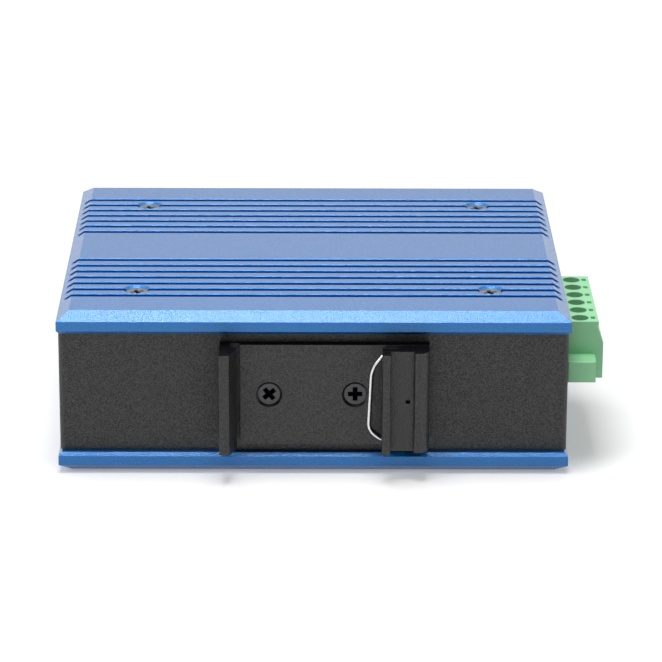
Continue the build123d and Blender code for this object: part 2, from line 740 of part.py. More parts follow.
# Terminal plug: stepped block, ears, insert, and a chamber for each pole
contact_top = cage_bottom + cage_height - cage_top - contact_leaf
contact_gap = thread_gap
leaf_top = pin_z + pin_width / 2 + contact_gap + contact_leaf
leaf_bottom = pin_z - pin_width / 2 - contact_gap - contact_leaf
riser_right = clamp_screw_x - cage_length / 2 - cage_gap
riser_left = riser_right - contact_thickness
chamber_top = cage_bottom + cage_height + cage_gap
with BuildPart() as terminal_plug:
    with BuildSketch(Plane.XZ.offset(-terminal_y - plug_width / 2)):
        with BuildLine():
            Polyline((block_left, plug_bottom), (plug_face_x, plug_bottom),
                     (plug_face_x, plug_bottom + plug_knee),
                     (plug_lip_x - plug_lip_undercut, plug_top - plug_lip), (plug_lip_x, plug_top - plug_lip),
                     (plug_lip_x, plug_top), (block_left, plug_top), close=True)
        make_face()
        with Locations(((insert_left + block_left) / 2, insert_bottom + plug_insert_height / 2)):
            Rectangle(block_left - insert_left, plug_insert_height)
    extrude(amount=plug_width)
    ear_bottom = plug_bottom + ear_rise
    with BuildSketch(Plane.XZ.offset(-terminal_y - plug_width / 2 - ear_width)):
        with Locations(((block_left + ear_face_x) / 2, ear_bottom + ear_height / 2)):
            Rectangle(ear_face_x - block_left, ear_height)
    extrude(amount=plug_width + 2 * ear_width)
    for ear_end in (0, -1):
        ear_face = terminal_plug.faces().filter_by(Axis.Y).sort_by(Axis.Y)[ear_end]
        chamfer(ear_face.edges(), ear_edge_break)
    with BuildSketch(Plane.XY.offset(plug_top)):
        with Locations(*[(clamp_screw_x, y) for y in pole_spots]):
            Circle(clamp_hole_radius)
    extrude(amount=chamber_top - plug_top, mode=Mode.SUBTRACT)
    with BuildSketch(Plane.XY.offset(plug_top)):
        with Locations(*[(mark_x, y) for y in pole_spots]):
            Rectangle(mark_length, mark_width)
    extrude(amount=-mark_depth, mode=Mode.SUBTRACT)
    with BuildSketch(Plane.YZ.offset(riser_right)):
        with Locations(*[(y, (chamber_top + cage_bottom - cage_gap) / 2) for y in pole_spots]):
            Rectangle(cage_width + 2 * cage_gap, chamber_top - cage_bottom + cage_gap)
    extrude(amount=cage_length + 2 * cage_gap, mode=Mode.SUBTRACT)
    entry_middle = cage_bottom + cage_floor + entry_height / 2
    with BuildSketch(Plane.YZ.offset(riser_right)):
        with Locations(*[(y, entry_middle) for y in pole_spots]):
            Rectangle(entry_width, entry_height)
    extrude(amount=plug_face_x - riser_right, mode=Mode.SUBTRACT)
    with BuildSketch(Plane.YZ.offset(riser_right)):
        with Locations(*[(y, (leaf_top + leaf_bottom) / 2) for y in pole_spots]):
            Rectangle(contact_width + 2 * contact_gap, leaf_top - leaf_bottom + 2 * contact_gap)
    extrude(amount=insert_left - riser_right, mode=Mode.SUBTRACT)
    with BuildSketch(Plane.YZ.offset(riser_right)):
        with Locations(*[(y, (contact_top + leaf_bottom) / 2) for y in pole_spots]):
            Rectangle(contact_width + 2 * contact_gap, contact_top - leaf_bottom + 2 * contact_gap)
    extrude(amount=-contact_thickness - contact_gap, mode=Mode.SUBTRACT)
terminal_plug.part.label = "terminal_plug"
export_step(terminal_plug.part, "parts/terminal_plug.step")

# Contact in each pole: a fork for the pin, a riser and a bar under the clamp screw
with BuildPart() as plug_contacts:
    fork_left = insert_left + contact_thickness
    bar_right = clamp_screw_x + cage_length / 2
    for y in pole_spots:
        with BuildSketch(Plane.XZ.offset(-y - contact_width / 2)):
            with BuildLine():
                Polyline((fork_left, leaf_bottom), (riser_right, leaf_bottom),
                         (riser_right, contact_top - contact_leaf), (bar_right, contact_top - contact_leaf),
                         (bar_right, contact_top), (riser_left, contact_top), (riser_left, leaf_top),
                         (fork_left, leaf_top), (fork_left, leaf_top - contact_leaf),
                         (riser_left, leaf_top - contact_leaf), (riser_left, leaf_bottom + contact_leaf),
                         (fork_left, leaf_bottom + contact_leaf), close=True)
            make_face()
        extrude(amount=contact_width)
plug_contacts.part.label = "plug_contacts"
export_step(plug_contacts.part, "parts/plug_contacts.step")

# Clamp cages: square frames round the contact bars
with BuildPart() as clamp_cages:
    with BuildSketch(Plane.YZ.offset(clamp_screw_x - cage_length / 2)):
        with Locations(*[(y, cage_bottom + cage_height / 2) for y in pole_spots]):
            Rectangle(cage_width, cage_height)
        with Locations(*[(y, cage_bottom + (cage_floor + cage_height - cage_top) / 2) for y in pole_spots]):
            Rectangle(cage_width - 2 * cage_side, cage_height - cage_floor - cage_top, mode=Mode.SUBTRACT)
    extrude(amount=cage_length)
    with BuildSketch(Plane.XY.offset(cage_bottom + cage_height)):
        with Locations(*[(clamp_screw_x, y) for y in pole_spots]):
            Circle(thread_hole)
    extrude(amount=-cage_top, mode=Mode.SUBTRACT)
clamp_cages.part.label = "clamp_cages"
export_step(clamp_cages.part, "parts/clamp_cages.step")

with BuildPart() as clamp_screws:
    head_top = plug_top - clamp_head_sink
    for y in pole_spots:
        with BuildSketch(Plane.XY.offset(head_top - clamp_head)):
            with Locations((clamp_screw_x, y)):
                Circle(clamp_head_radius)
        extrude(amount=clamp_head)
        with BuildSketch(Plane.XY.offset(contact_top)):
            with Locations((clamp_screw_x, y)):
                Circle(thread_radius)
        extrude(amount=head_top - clamp_head - contact_top)
        with BuildSketch(Plane.XY.offset(head_top)):
            with Locations((clamp_screw_x, y)):
                Rectangle(2 * clamp_head_radius, clamp_slot)
        extrude(amount=-clamp_head / 2, mode=Mode.SUBTRACT)
clamp_screws.part.label = "clamp_screws"
export_step(clamp_screws.part, "parts/clamp_screws.step")

# Mode switch behind its window in the end wall
with BuildPart() as mode_switch:
    with BuildSketch(Plane.YZ.offset(switch_face)):
        with Locations((switch_y, switch_middle)):
            Rectangle(switch_width, switch_height)
    extrude(amount=-switch_depth)
    slot_height = lever_height + lever_travel + 2 * lever_gap
    with BuildSketch(Plane.YZ.offset(switch_face)):
        with Locations(*[(y, switch_middle) for y in lever_spots]):
            Rectangle(lever_width + 2 * lever_gap, slot_height)
    extrude(amount=-lever_root - lever_gap, mode=Mode.SUBTRACT)
mode_switch.part.label = "mode_switch"
export_step(mode_switch.part, "parts/mode_switch.step")

lever_z = switch_middle - lever_travel / 2
for number, y in enumerate(lever_spots, start=1):
    with BuildPart() as mode_lever:
        with BuildSketch(Plane.YZ.offset(switch_face - lever_root)):
            with Locations((y, lever_z)):
                Rectangle(lever_width, lever_height)
        extrude(amount=lever_root + lever_proud)
        chamfer(mode_lever.faces().sort_by(Axis.X)[-1].edges(), lever_edge_break)
    mode_lever.part.label = f"mode_lever_{number}"
    export_step(mode_lever.part, f"parts/mode_lever_{number}.step")

# Earth screw and washer on the end wall
with BuildPart() as earth_washer:
    with BuildSketch(end_plane(1, earth_y, earth_z)):
        Circle(washer_radius)
        Circle(earth_radius + hole_gap, mode=Mode.SUBTRACT)
    extrude(amount=washer_thickness)
earth_washer.part.label = "earth_washer"
export_step(earth_washer.part, "parts/earth_washer.step")

earth_solid = pan_screw(earth_radius, earth_length, earth_head_radius, earth_head)
with BuildPart() as earth_screw:
    with Locations(end_plane(1, earth_y, earth_z, housing_end + washer_thickness)):
        add(earth_solid)
earth_screw.part.label = "earth_screw"
export_step(earth_screw.part, "parts/earth_screw.step")

# Copper port: shield, insert with the stepped latch slot, and contact wires
rj45_front = housing_front
with BuildPart() as rj45_shield:
    with BuildSketch(Plane.XZ.offset(-rj45_front)):
        with Locations((rj45_x, board_top + rj45_height / 2)):
            Rectangle(rj45_width, rj45_height)
    extrude(amount=rj45_depth)
    with BuildSketch(Plane.XZ.offset(-rj45_front)):
        with Locations((rj45_x, board_top + rj45_height / 2)):
            Rectangle(rj45_width - 2 * rj45_skin, rj45_height - 2 * rj45_skin)
    extrude(amount=rj45_depth - rj45_skin, mode=Mode.SUBTRACT)
rj45_shield.part.label = "rj45_shield"
export_step(rj45_shield.part, "parts/rj45_shield.step")

slot_bottom = board_top + plug_slot_rise
with BuildPart() as rj45_insert:
    with BuildSketch(Plane.XZ.offset(-rj45_front)):
        with Locations((rj45_x, board_top + rj45_height / 2)):
            Rectangle(rj45_width - 2 * rj45_skin, rj45_height - 2 * rj45_skin)
    extrude(amount=rj45_depth - rj45_skin)
    with BuildSketch(Plane.XZ.offset(-rj45_front)):
        with Locations((rj45_x, slot_bottom + plug_slot_height / 2)):
            Rectangle(plug_slot_width, plug_slot_height)
        step_top = slot_bottom
        for step_width, step_share in latch_steps:
            step_height = step_share * rj45_height
            with Locations((rj45_x, step_top - step_height / 2)):
                Rectangle(step_width, step_height)
            step_top -= step_height
    extrude(amount=plug_slot_depth, mode=Mode.SUBTRACT)
rj45_insert.part.label = "rj45_insert"
export_step(rj45_insert.part, "parts/rj45_insert.step")

with BuildPart() as rj45_contacts:
    slot_top = slot_bottom + plug_slot_height
    wire_back = rj45_front - plug_slot_depth
    for i in range(contact_count):
        x = rj45_x + (i - (contact_count - 1) / 2) * contact_pitch
        with BuildSketch(Plane.YZ.offset(x - contact_wire / 2)):
            with BuildLine():
                Polyline((wire_back, slot_top), (wire_back + contact_run, slot_top),
                         (wire_back + contact_run, slot_top - contact_wire),
                         (wire_back + contact_bend, slot_top - contact_wire),
                         (wire_back + contact_tip_in, slot_top - contact_drop),
                         (wire_back + contact_tip_in, slot_top - contact_drop - contact_wire),
                         (wire_back + contact_tip_in - contact_wire, slot_top - contact_drop - contact_wire),
                         (wire_back, slot_top - contact_drop), close=True)
            make_face()
        extrude(amount=contact_wire)
rj45_contacts.part.label = "rj45_contacts"
export_step(rj45_contacts.part, "parts/rj45_contacts.step")

# Fibre module cage with its board socket
cage_front = housing_front + cage_proud
cage_middle = board_top + cage_outer_height / 2
with BuildPart() as module_cage:
    with BuildSketch(Plane.XZ.offset(-cage_front)):
        with Locations((cage_x, cage_middle)):
            Rectangle(cage_outer_width, cage_outer_height)
    extrude(amount=cage_depth)
    with BuildSketch(Plane.XZ.offset(-cage_front)):
        with Locations((cage_x, cage_middle)):
            Rectangle(cage_outer_width - 2 * cage_skin, cage_outer_height - 2 * cage_skin)
    extrude(amount=cage_depth - cage_skin, mode=Mode.SUBTRACT)
module_cage.part.label = "module_cage"
export_step(module_cage.part, "parts/module_cage.step")

socket_back = cage_front - cage_depth + cage_skin
with BuildPart() as module_socket:
    with BuildSketch(Plane.XZ.offset(-socket_back - socket_depth)):
        with Locations((cage_x, board_top + cage_skin + socket_height / 2)):
            Rectangle(socket_width, socket_height)
            Rectangle(socket_width - 2 * socket_side, socket_slot_height, mode=Mode.SUBTRACT)
    extrude(amount=socket_depth)
module_socket.part.label = "module_socket"
export_step(module_socket.part, "parts/module_socket.step")

# Status lamps and their bent leads
lamp_front = housing_front + lamp_proud
lamp_rear = lamp_front - lamp_length
with BuildPart() as status_lamps:
    for x in lamp_spots:
        with BuildSketch(Plane.XZ.offset(-lamp_rear)):
            with Locations((x, lamp_z)):
                Circle(lamp_rim_radius)
        extrude(amount=-lamp_rim)
        with BuildSketch(Plane.XZ.offset(-lamp_rear)):
            with Locations((x, lamp_z)):
                Circle(lamp_radius)
        extrude(amount=-lamp_length)
    chamfer(status_lamps.edges().filter_by(GeomType.CIRCLE).group_by(Axis.Y)[-1], lamp_break)
status_lamps.part.label = "status_lamps"
export_step(status_lamps.part, "parts/status_lamps.step")

with BuildPart() as lamp_leads:
    lead_back = lamp_rear - lead_run
    for x in lamp_spots:
        for side in (-1, 1):
            with BuildSketch(Plane.YZ.offset(x + side * lead_spacing / 2 - lead_width / 2)):
                with BuildLine():
                    Polyline((lamp_rear, lamp_z - lead_width / 2), (lamp_rear, lamp_z + lead_width / 2),
                             (lead_back, lamp_z + lead_width / 2), (lead_back, board_top),
                             (lead_back + lead_width, board_top),
                             (lead_back + lead_width, lamp_z - lead_width / 2), close=True)
                make_face()
            extrude(amount=lead_width)
lamp_leads.part.label = "lamp_leads"
export_step(lamp_leads.part, "parts/lamp_leads.step")


def board_block(name, size, spots):
    """Plain soldered bodies that stand on the board, written as one node."""
    with BuildPart() as block:
        with BuildSketch(Plane.XY.offset(board_top)):
            with Locations(*spots):
                Rectangle(size[0], size[1])
        extrude(amount=size[2])
        chamfer(block.faces().filter_by(Axis.Z).group_by(Axis.Z)[-1].edges(), size[2] * block_break_share)
    block.part.label = name
    export_step(block.part, f"parts/{name}.step")


board_block("switch_chip", switch_chip_size, [(switch_chip_x, chip_row_y)])
board_block("phy_chip", phy_chip_size, [(phy_chip_x, chip_row_y)])
board_block("line_transformer", transformer_size, [(rj45_x, transformer_y)])
board_block("alarm_relay", relay_size, [(relay_x, relay_y)])
board_block("clock_crystal", crystal_size, [(crystal_x, crystal_y)])
board_block("power_inductors", inductor_size, inductor_spots)

with BuildPart() as smoothing_capacitors:
    with BuildSketch(Plane.XY.offset(board_top)):
        with Locations(*capacitor_spots):
            Circle(capacitor_radius)
    extrude(amount=capacitor_height)
    rims = smoothing_capacitors.edges().filter_by(GeomType.CIRCLE).group_by(Axis.Z)[-1]
    chamfer(rims, capacitor_break)
smoothing_capacitors.part.label = "smoothing_capacitors"
export_step(smoothing_capacitors.part, "parts/smoothing_capacitors.step")
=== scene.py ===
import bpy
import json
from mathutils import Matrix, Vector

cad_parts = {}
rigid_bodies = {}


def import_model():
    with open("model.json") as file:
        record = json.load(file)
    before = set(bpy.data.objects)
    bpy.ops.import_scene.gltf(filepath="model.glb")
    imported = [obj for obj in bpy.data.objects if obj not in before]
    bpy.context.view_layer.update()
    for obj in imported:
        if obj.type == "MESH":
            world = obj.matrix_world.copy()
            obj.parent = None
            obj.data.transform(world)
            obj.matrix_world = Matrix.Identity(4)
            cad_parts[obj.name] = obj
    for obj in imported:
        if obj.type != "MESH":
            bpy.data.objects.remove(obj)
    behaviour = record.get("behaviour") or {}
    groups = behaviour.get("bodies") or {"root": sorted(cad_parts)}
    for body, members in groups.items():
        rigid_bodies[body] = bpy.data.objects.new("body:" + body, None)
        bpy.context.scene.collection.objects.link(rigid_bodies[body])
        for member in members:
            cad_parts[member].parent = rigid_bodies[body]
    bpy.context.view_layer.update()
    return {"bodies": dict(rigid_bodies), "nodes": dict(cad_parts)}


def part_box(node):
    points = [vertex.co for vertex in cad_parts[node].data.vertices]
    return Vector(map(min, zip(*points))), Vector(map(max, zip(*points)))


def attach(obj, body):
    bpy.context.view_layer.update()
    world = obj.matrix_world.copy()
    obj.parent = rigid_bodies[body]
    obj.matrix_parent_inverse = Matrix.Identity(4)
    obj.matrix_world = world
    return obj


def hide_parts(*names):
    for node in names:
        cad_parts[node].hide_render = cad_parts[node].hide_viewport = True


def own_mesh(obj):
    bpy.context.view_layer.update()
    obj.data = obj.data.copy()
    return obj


bl_info = {
    "name": "Rail converter finishes",
    "version": (1, 0, 0),
    "blender": (4, 5, 0),
    "location": "View3D > Sidebar > Converter",
    "description": "Finishes, small trims, light and camera for a rail-mount media converter",
    "category": "Object",
}

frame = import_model()

import json
from math import pi, radians

import bmesh
import bpy
from bpy.props import FloatProperty, FloatVectorProperty, IntProperty, PointerProperty
from bpy.types import Operator, Panel, PropertyGroup
from mathutils import Matrix, Vector

MM = 0.001
WHITE = (1.0, 1.0, 1.0, 1.0)
# Noise keeps mostly between these values, so a range mapped from them is used in full
NOISE_SPAN = {"From Min": 0.3, "From Max": 0.7}
# The Principled shader's own reflection level
PLAIN_GLOSS = 0.5
# How far below the head's face the painted shade in a screw's recess starts, and from where on it is darkest
RECESS_SHADE_START = 0.1 * MM
RECESS_SHADE_FULL = 0.45 * MM
PAINTED_RECESS_SHADE = (0.002, 0.002, 0.002, 1.0)
# The photograph's view, and the places of its lamps in metres
CAMERA_PLACE = (-1.67 * MM, -713.97 * MM, 261.27 * MM)
CAMERA_ROLL = radians(-0.25056)
CAMERA_TURN = radians(-0.36072)
OVERHEAD_PLACE = (-0.03, -0.06, 0.7)
LEFT_PLACE = (-0.48, -0.3, 0.36)
# The floor's half size in metres, and how far it lies under the object
FLOOR_REACH = 4.0
FLOOR_GAP = 0.02 * MM


def linear(code):
    """Turns an sRGB hex code into linear red, green and blue."""
    parts = [int(code[i:i + 2], 16) / 255 for i in (1, 3, 5)]
    return tuple(c / 12.92 if c <= 0.04045 else ((c + 0.055) / 1.055) ** 2.4 for c in parts)


def colour(name, code, description):
    return FloatVectorProperty(name=name, description=description, subtype="COLOR", size=3, min=0, max=1,
                               default=linear(code))


def length(name, millimetres, description):
    return FloatProperty(name=name, description=description, subtype="DISTANCE", unit="LENGTH", min=0,
                         precision=5, default=millimetres * MM)


def strength(name, default, description, most=100.0):
    return FloatProperty(name=name, description=description, min=0, max=most, default=default)


def number(name, default, description):
    return IntProperty(name=name, description=description, min=1, default=default)


class ConverterFinishes(PropertyGroup):
    panel_blue: colour("Panel blue", "#0A6AAF", "Dye in the fin panels' anodised layer")
    coat_black: colour("Housing black", "#0A0A0B", "Powder coat of the folded housing and its cover")
    clip_black: colour("Clip black", "#070708", "Black anodising of the rail clip and jaw")
    screw_black: colour("Black screws", "#4C4C4E", "Black zinc on the clip and cover screws")
    nickel: colour("Nickel", "#B9B4AD", "Nickel plate on the small steel parts inside and the earth screw")
    head_nickel: colour("Screw heads", "#96928D", "Nickel plate on the panel screws, worn dull by tumbling")
    steel_wire: colour("Spring steel", "#DADBDC", "Drawn stainless wire of the jaw's spring")
    terminal_green: colour("Terminal green", "#8BCC9A", "Moulded nylon of the terminal plug and header")
    tin: colour("Tin", "#C9C8C4", "Tinned contacts, leads and port shields")
    gold: colour("Gold", "#D9AE55", "Flash on the port contacts")
    port_black: colour("Port black", "#161617", "Moulded insert and socket in the ports")
    board_green: colour("Board green", "#1C5B34", "Solder mask")
    chip_black: colour("Chip black", "#1B1B1C", "Moulded epoxy of the chips and the transformer")
    relay_white: colour("Relay white", "#D8D7D2", "Moulded case of the alarm relay")
    ferrite: colour("Ferrite", "#3A3B3D", "Sintered cores of the inductors")
    can_silver: colour("Can silver", "#C5C6C9", "Aluminium cans of the capacitors")
    solder: colour("Solder", "#C4C3C0", "Joints under the board")
    switch_red: colour("Switch red", "#9C2A22", "Moulded body of the mode switch")
    lever_white: colour("Lever white", "#E9E7E0", "Moulded levers of the mode switch")
    lamp_green: colour("Lamp green", "#7DB36B", "Diffused lamp lenses")


class ConverterTrims(PropertyGroup):
    wire_radius: length("Wire radius", 0.4, "Radius of the jaw's spring wire")
    wire_leg_z: length("Wire leg offset", 9.6, "Height of each spring leg from the middle")
    wire_anchor_x: length("Wire anchor", 22.2, "Where the wire's ends sit in the clip plate, from the middle")
    wire_bow_x: length("Wire bow", 11.37, "How far out the bow of the wire reaches, from the middle")
    switch_legs: number("Switch chip legs", 15, "Legs on each side of the larger chip")
    switch_foot: length("Switch chip foot", 1.1, "How far the larger chip's legs reach out")
    phy_legs: number("Port chip legs", 7, "Legs on each side of the smaller chip")
    phy_foot: length("Port chip foot", 0.8, "How far the smaller chip's legs reach out")
    leg_pitch: length("Chip leg pitch", 0.8, "Spacing of the chips' legs")
    leg_width: length("Chip leg width", 0.35, "Width of one chip leg")
    finger_width: length("Cage finger width", 1.7, "Width of one contact finger round the module cage")
    finger_gap: length("Cage finger gap", 0.55, "Space between two contact fingers")
    long_count: number("Fingers on a long side", 6, "Contact fingers above and below the cage")
    short_count: number("Fingers on a short side", 4, "Contact fingers at each side of the cage")
    fillet_radius: length("Solder radius", 0.95, "Radius of a solder joint under the board")
    fillet_height: length("Solder height", 1.1, "Height of a solder joint under the board")


class ConverterStage(PropertyGroup):
    lens: FloatProperty(name="Lens", description="Focal length in millimetres", min=1, default=186.96)
    camera_tilt: FloatProperty(name="Camera tilt", description="Angle from straight down", subtype="ANGLE",
                               default=radians(70.9988))
    floor_tone: colour("Floor", "#D9D9D9", "Pale studio floor")
    box_width: length("Softbox width", 300, "Overhead softbox, along the converter's long side")
    box_depth: length("Softbox depth", 380, "Overhead softbox, from front to back")
    box_glow: strength("Softbox radiance", 11.0, "Brightness of the overhead softbox's face")
    left_size: length("Left softbox", 300, "Side of the square softbox on the left")
    left_glow: strength("Left radiance", 4.0, "Brightness of the left softbox's face")
    sky_glow: strength("Room light", 0.5, "Brightness of the even light from all round")
    floor_lift: strength("Floor lift", 0.27, "How much paler the floor looks than the light on it")
    front_shade: strength("Front shade", 0.8, "Share of the room light that the dark side takes", most=1.0)


def add_node(tree, kind, inputs=None, **settings):
    """Adds one node. An input takes a value, or the output socket that feeds it."""
    node = tree.nodes.new(kind)
    for name, value in settings.items():
        setattr(node, name, value)
    for key, value in (inputs or {}).items():
        socket = node.inputs[key]
        if isinstance(value, bpy.types.NodeSocket):
            tree.links.new(value, socket)
        else:
            socket.default_value = value
    return node


def grain_scale(millimetres):
    """Noise scale for a pattern whose features are about this many millimetres wide."""
    return 1 / (millimetres * MM)


def start_material(name):
    """A new material with one Principled shader, and the object coordinates to build on."""
    material = bpy.data.materials.new(name)
    material.use_nodes = True
    tree = material.node_tree
    tree.nodes.clear()
    shader = add_node(tree, "ShaderNodeBsdfPrincipled")
    add_node(tree, "ShaderNodeOutputMaterial", {"Surface": shader.outputs["BSDF"]})
    place = add_node(tree, "ShaderNodeTexCoord").outputs["Object"]
    return material, tree, shader, place


def opaque(tone, brightness=1.0):
    """The tone as a node's colour, made lighter or darker."""
    return tuple(min(c * brightness, 1) for c in tone) + (1.0,)


def mottle(tree, place, tone, patch_mm, spread):
    """The tone, a little lighter and darker in patches of about this size."""
    noise = add_node(tree, "ShaderNodeTexNoise", {"Vector": place, "Scale": grain_scale(patch_mm),
                                                  "Detail": 2.0})
    share = add_node(tree, "ShaderNodeMapRange", {"Value": noise.outputs["Fac"], **NOISE_SPAN,
                                                  "To Min": 0, "To Max": 1})
    mix = add_node(tree, "ShaderNodeMix", {0: share.outputs["Result"], 6: opaque(tone, 1 - spread),
                                           7: opaque(tone, 1 + spread)}, data_type="RGBA")
    return mix.outputs[2]


def grain_gloss(tree, shader, place, grain_mm, spread, share=1.0):
    """Breaks the surface's reflection up into grains; share is a socket or a number that scales it."""
    noise = add_node(tree, "ShaderNodeTexNoise", {"Vector": place, "Scale": grain_scale(grain_mm),
                                                  "Detail": 1.0})
    level = add_node(tree, "ShaderNodeMapRange", {"Value": noise.outputs["Fac"], **NOISE_SPAN,
                                                  "To Min": PLAIN_GLOSS * (1 - spread),
                                                  "To Max": PLAIN_GLOSS * (1 + spread)})
    scaled = add_node(tree, "ShaderNodeMath", {0: level.outputs["Result"], 1: share}, operation="MULTIPLY")
    tree.links.new(scaled.outputs[0], shader.inputs["Specular IOR Level"])


def give_skin(tree, shader, pattern, rough, depth_mm, edge_mm):
    """Spreads the roughness by the pattern and stands it this deep on edges rounded as in the making.

    It returns the rounded normal, for a coat that has its own depth."""
    spread = add_node(tree, "ShaderNodeMapRange", {"Value": pattern, **NOISE_SPAN, "To Min": rough[0],
                                                   "To Max": rough[1]})
    tree.links.new(spread.outputs["Result"], shader.inputs["Roughness"])
    edges = add_node(tree, "ShaderNodeBevel", {"Radius": edge_mm * MM}, samples=4)
    bump = add_node(tree, "ShaderNodeBump", {"Height": pattern, "Strength": 1.0, "Distance": depth_mm * MM,
                                             "Normal": edges.outputs["Normal"]})
    tree.links.new(bump.outputs["Normal"], shader.inputs["Normal"])
    return edges.outputs["Normal"]


def looked_at(tree):
    """1 for rays from the camera, off gloss or through glass, and 0 for the light that falls on things."""
    path = add_node(tree, "ShaderNodeLightPath")
    mirror = add_node(tree, "ShaderNodeMath", {0: path.outputs["Is Camera Ray"],
                                               1: path.outputs["Is Glossy Ray"]}, operation="MAXIMUM")
    glass = add_node(tree, "ShaderNodeMath", {0: mirror.outputs[0], 1: path.outputs["Is Transmission Ray"]},
                     operation="MAXIMUM")
    return glass.outputs[0]


def blasted_anodised_aluminium(name, tone):
    """Bead-blasted and dyed: metal grain glints through a hard clear oxide layer, which adds a pale sheen."""
    material, tree, shader, place = start_material(name)
    # Real blasting grit leaves pits of about 0.1 mm; drawn at 0.28 mm so that they show as sparkle
    pits = add_node(tree, "ShaderNodeTexNoise", {"Vector": place, "Scale": grain_scale(0.28), "Detail": 2.0,
                                                 "Roughness": 0.6})
    shader.inputs["Metallic"].default_value = 1.0
    shader.inputs["Coat Weight"].default_value = 1.0
    shader.inputs["Coat IOR"].default_value = 1.5
    shader.inputs["Coat Roughness"].default_value = 0.18
    tree.links.new(mottle(tree, place, tone, patch_mm=0.3, spread=0.22), shader.inputs["Base Color"])
    edges = give_skin(tree, shader, pits.outputs["Fac"], rough=(0.42, 0.56), depth_mm=0.16, edge_mm=0.12)
    # The oxide layer's face follows the pits about half as deep
    layer = add_node(tree, "ShaderNodeBump", {"Height": pits.outputs["Fac"], "Strength": 1.0,
                                              "Distance": 0.078 * MM, "Normal": edges})
    tree.links.new(layer.outputs["Normal"], shader.inputs["Coat Normal"])
    return material


def powder_coat(name, tone):
    """Baked polyester powder on steel: a slight orange peel with a satin gloss."""
    material, tree, shader, place = start_material(name)
    peel = add_node(tree, "ShaderNodeTexNoise", {"Vector": place, "Scale": grain_scale(0.3), "Detail": 2.0})
    shader.inputs["IOR"].default_value = 1.6
    tree.links.new(mottle(tree, place, tone, patch_mm=0.34, spread=0.34), shader.inputs["Base Color"])
    grain_gloss(tree, shader, place, grain_mm=0.24, spread=0.4)
    give_skin(tree, shader, peel.outputs["Fac"], rough=(0.4, 0.52), depth_mm=0.1, edge_mm=0.2)
    return material


def black_anodised_extrusion(name, tone):
    """Black-dyed aluminium bar, matt, with faint die lines along its length."""
    material, tree, shader, place = start_material(name)
    lines = add_node(tree, "ShaderNodeMapping", {"Vector": place, "Scale": (1.0, 1.0, 0.35)})
    die = add_node(tree, "ShaderNodeTexNoise", {"Vector": lines.outputs[0], "Scale": grain_scale(0.25),
                                                "Detail": 3.0})
    shader.inputs["IOR"].default_value = 1.6
    tree.links.new(mottle(tree, place, tone, patch_mm=0.4, spread=0.3), shader.inputs["Base Color"])
    # The bar's sawn ends and the countersinks slope up or down; there the gloss falls to about a seventh,
    # partly for their rough cut and partly as painted shade
    normal = add_node(tree, "ShaderNodeTexCoord").outputs["Normal"]
    facing = add_node(tree, "ShaderNodeSeparateXYZ", {"Vector": normal})
    slope = add_node(tree, "ShaderNodeMath", {0: facing.outputs["Z"]}, operation="ABSOLUTE")
    gloss_with_painted_end_shade = add_node(tree, "ShaderNodeMapRange", {"Value": slope.outputs[0], "From Min": 0.3, "From Max": 0.5,
                                                  "To Min": 1, "To Max": 0.14})
    grain_gloss(tree, shader, place, grain_mm=0.22, spread=0.35, share=gloss_with_painted_end_shade.outputs["Result"])
    give_skin(tree, shader, die.outputs["Fac"], rough=(0.34, 0.46), depth_mm=0.12, edge_mm=0.12)
    return material


def plated_metal(name, tone, rough, edge_mm=0.1, face=None):
    """Plated, tinned or blackened metal: fine tumbling marks in a thin hard plate.

    The face of a screw's head is an axis, its place and the way inwards, +1 or -1. Deeper than it, in the
    recess, the colour is painted down to near black as shade."""
    material, tree, shader, place = start_material(name)
    marks = add_node(tree, "ShaderNodeTexNoise", {"Vector": place, "Scale": grain_scale(0.22), "Detail": 4.0,
                                                  "Roughness": 0.65})
    shader.inputs["Metallic"].default_value = 1.0
    paint = mottle(tree, place, tone, patch_mm=0.6, spread=0.09)
    # Painted shade: deeper in the recess, the colour fades to near black
    if face:
        axis, level, inwards = face
        spot = add_node(tree, "ShaderNodeSeparateXYZ", {"Vector": place})
        recess_shade = add_node(tree, "ShaderNodeMapRange", {"Value": spot.outputs[axis],
                                                     "From Min": level + inwards * RECESS_SHADE_START,
                                                     "From Max": level + inwards * RECESS_SHADE_FULL,
                                                     "To Min": 0, "To Max": 1})
        mix = add_node(tree, "ShaderNodeMix", {0: recess_shade.outputs["Result"], 6: paint, 7: PAINTED_RECESS_SHADE},
                       data_type="RGBA")
        paint = mix.outputs[2]
    tree.links.new(paint, shader.inputs["Base Color"])
    give_skin(tree, shader, marks.outputs["Fac"], rough=(rough, rough + 0.14), depth_mm=0.004,
              edge_mm=edge_mm)
    return material


def brushed_sheet(name, tone, along):
    """Tinned or nickel sheet from the press: long rolling marks one way."""
    material, tree, shader, place = start_material(name)
    stretch = add_node(tree, "ShaderNodeMapping", {"Vector": place, "Scale": along})
    rolled = add_node(tree, "ShaderNodeTexNoise", {"Vector": stretch.outputs[0], "Scale": grain_scale(0.2),
                                                   "Detail": 3.0})
    shader.inputs["Metallic"].default_value = 1.0
    tree.links.new(mottle(tree, place, tone, patch_mm=1.5, spread=0.07), shader.inputs["Base Color"])
    give_skin(tree, shader, rolled.outputs["Fac"], rough=(0.22, 0.38), depth_mm=0.003, edge_mm=0.05)
    return material


def moulded_plastic(name, tone, rough, texture_mm=0.18, edge_mm=0.12):
    """Injection-moulded plastic: a fine spark-eroded skin and softly rounded edges."""
    material, tree, shader, place = start_material(name)
    skin = add_node(tree, "ShaderNodeTexNoise", {"Vector": place, "Scale": grain_scale(texture_mm),
                                                 "Detail": 3.0})
    shader.inputs["IOR"].default_value = 1.52
    tree.links.new(mottle(tree, place, tone, patch_mm=3.0, spread=0.03), shader.inputs["Base Color"])
    give_skin(tree, shader, skin.outputs["Fac"], rough=(rough - 0.05, rough + 0.06), depth_mm=0.006,
              edge_mm=edge_mm)
    return material


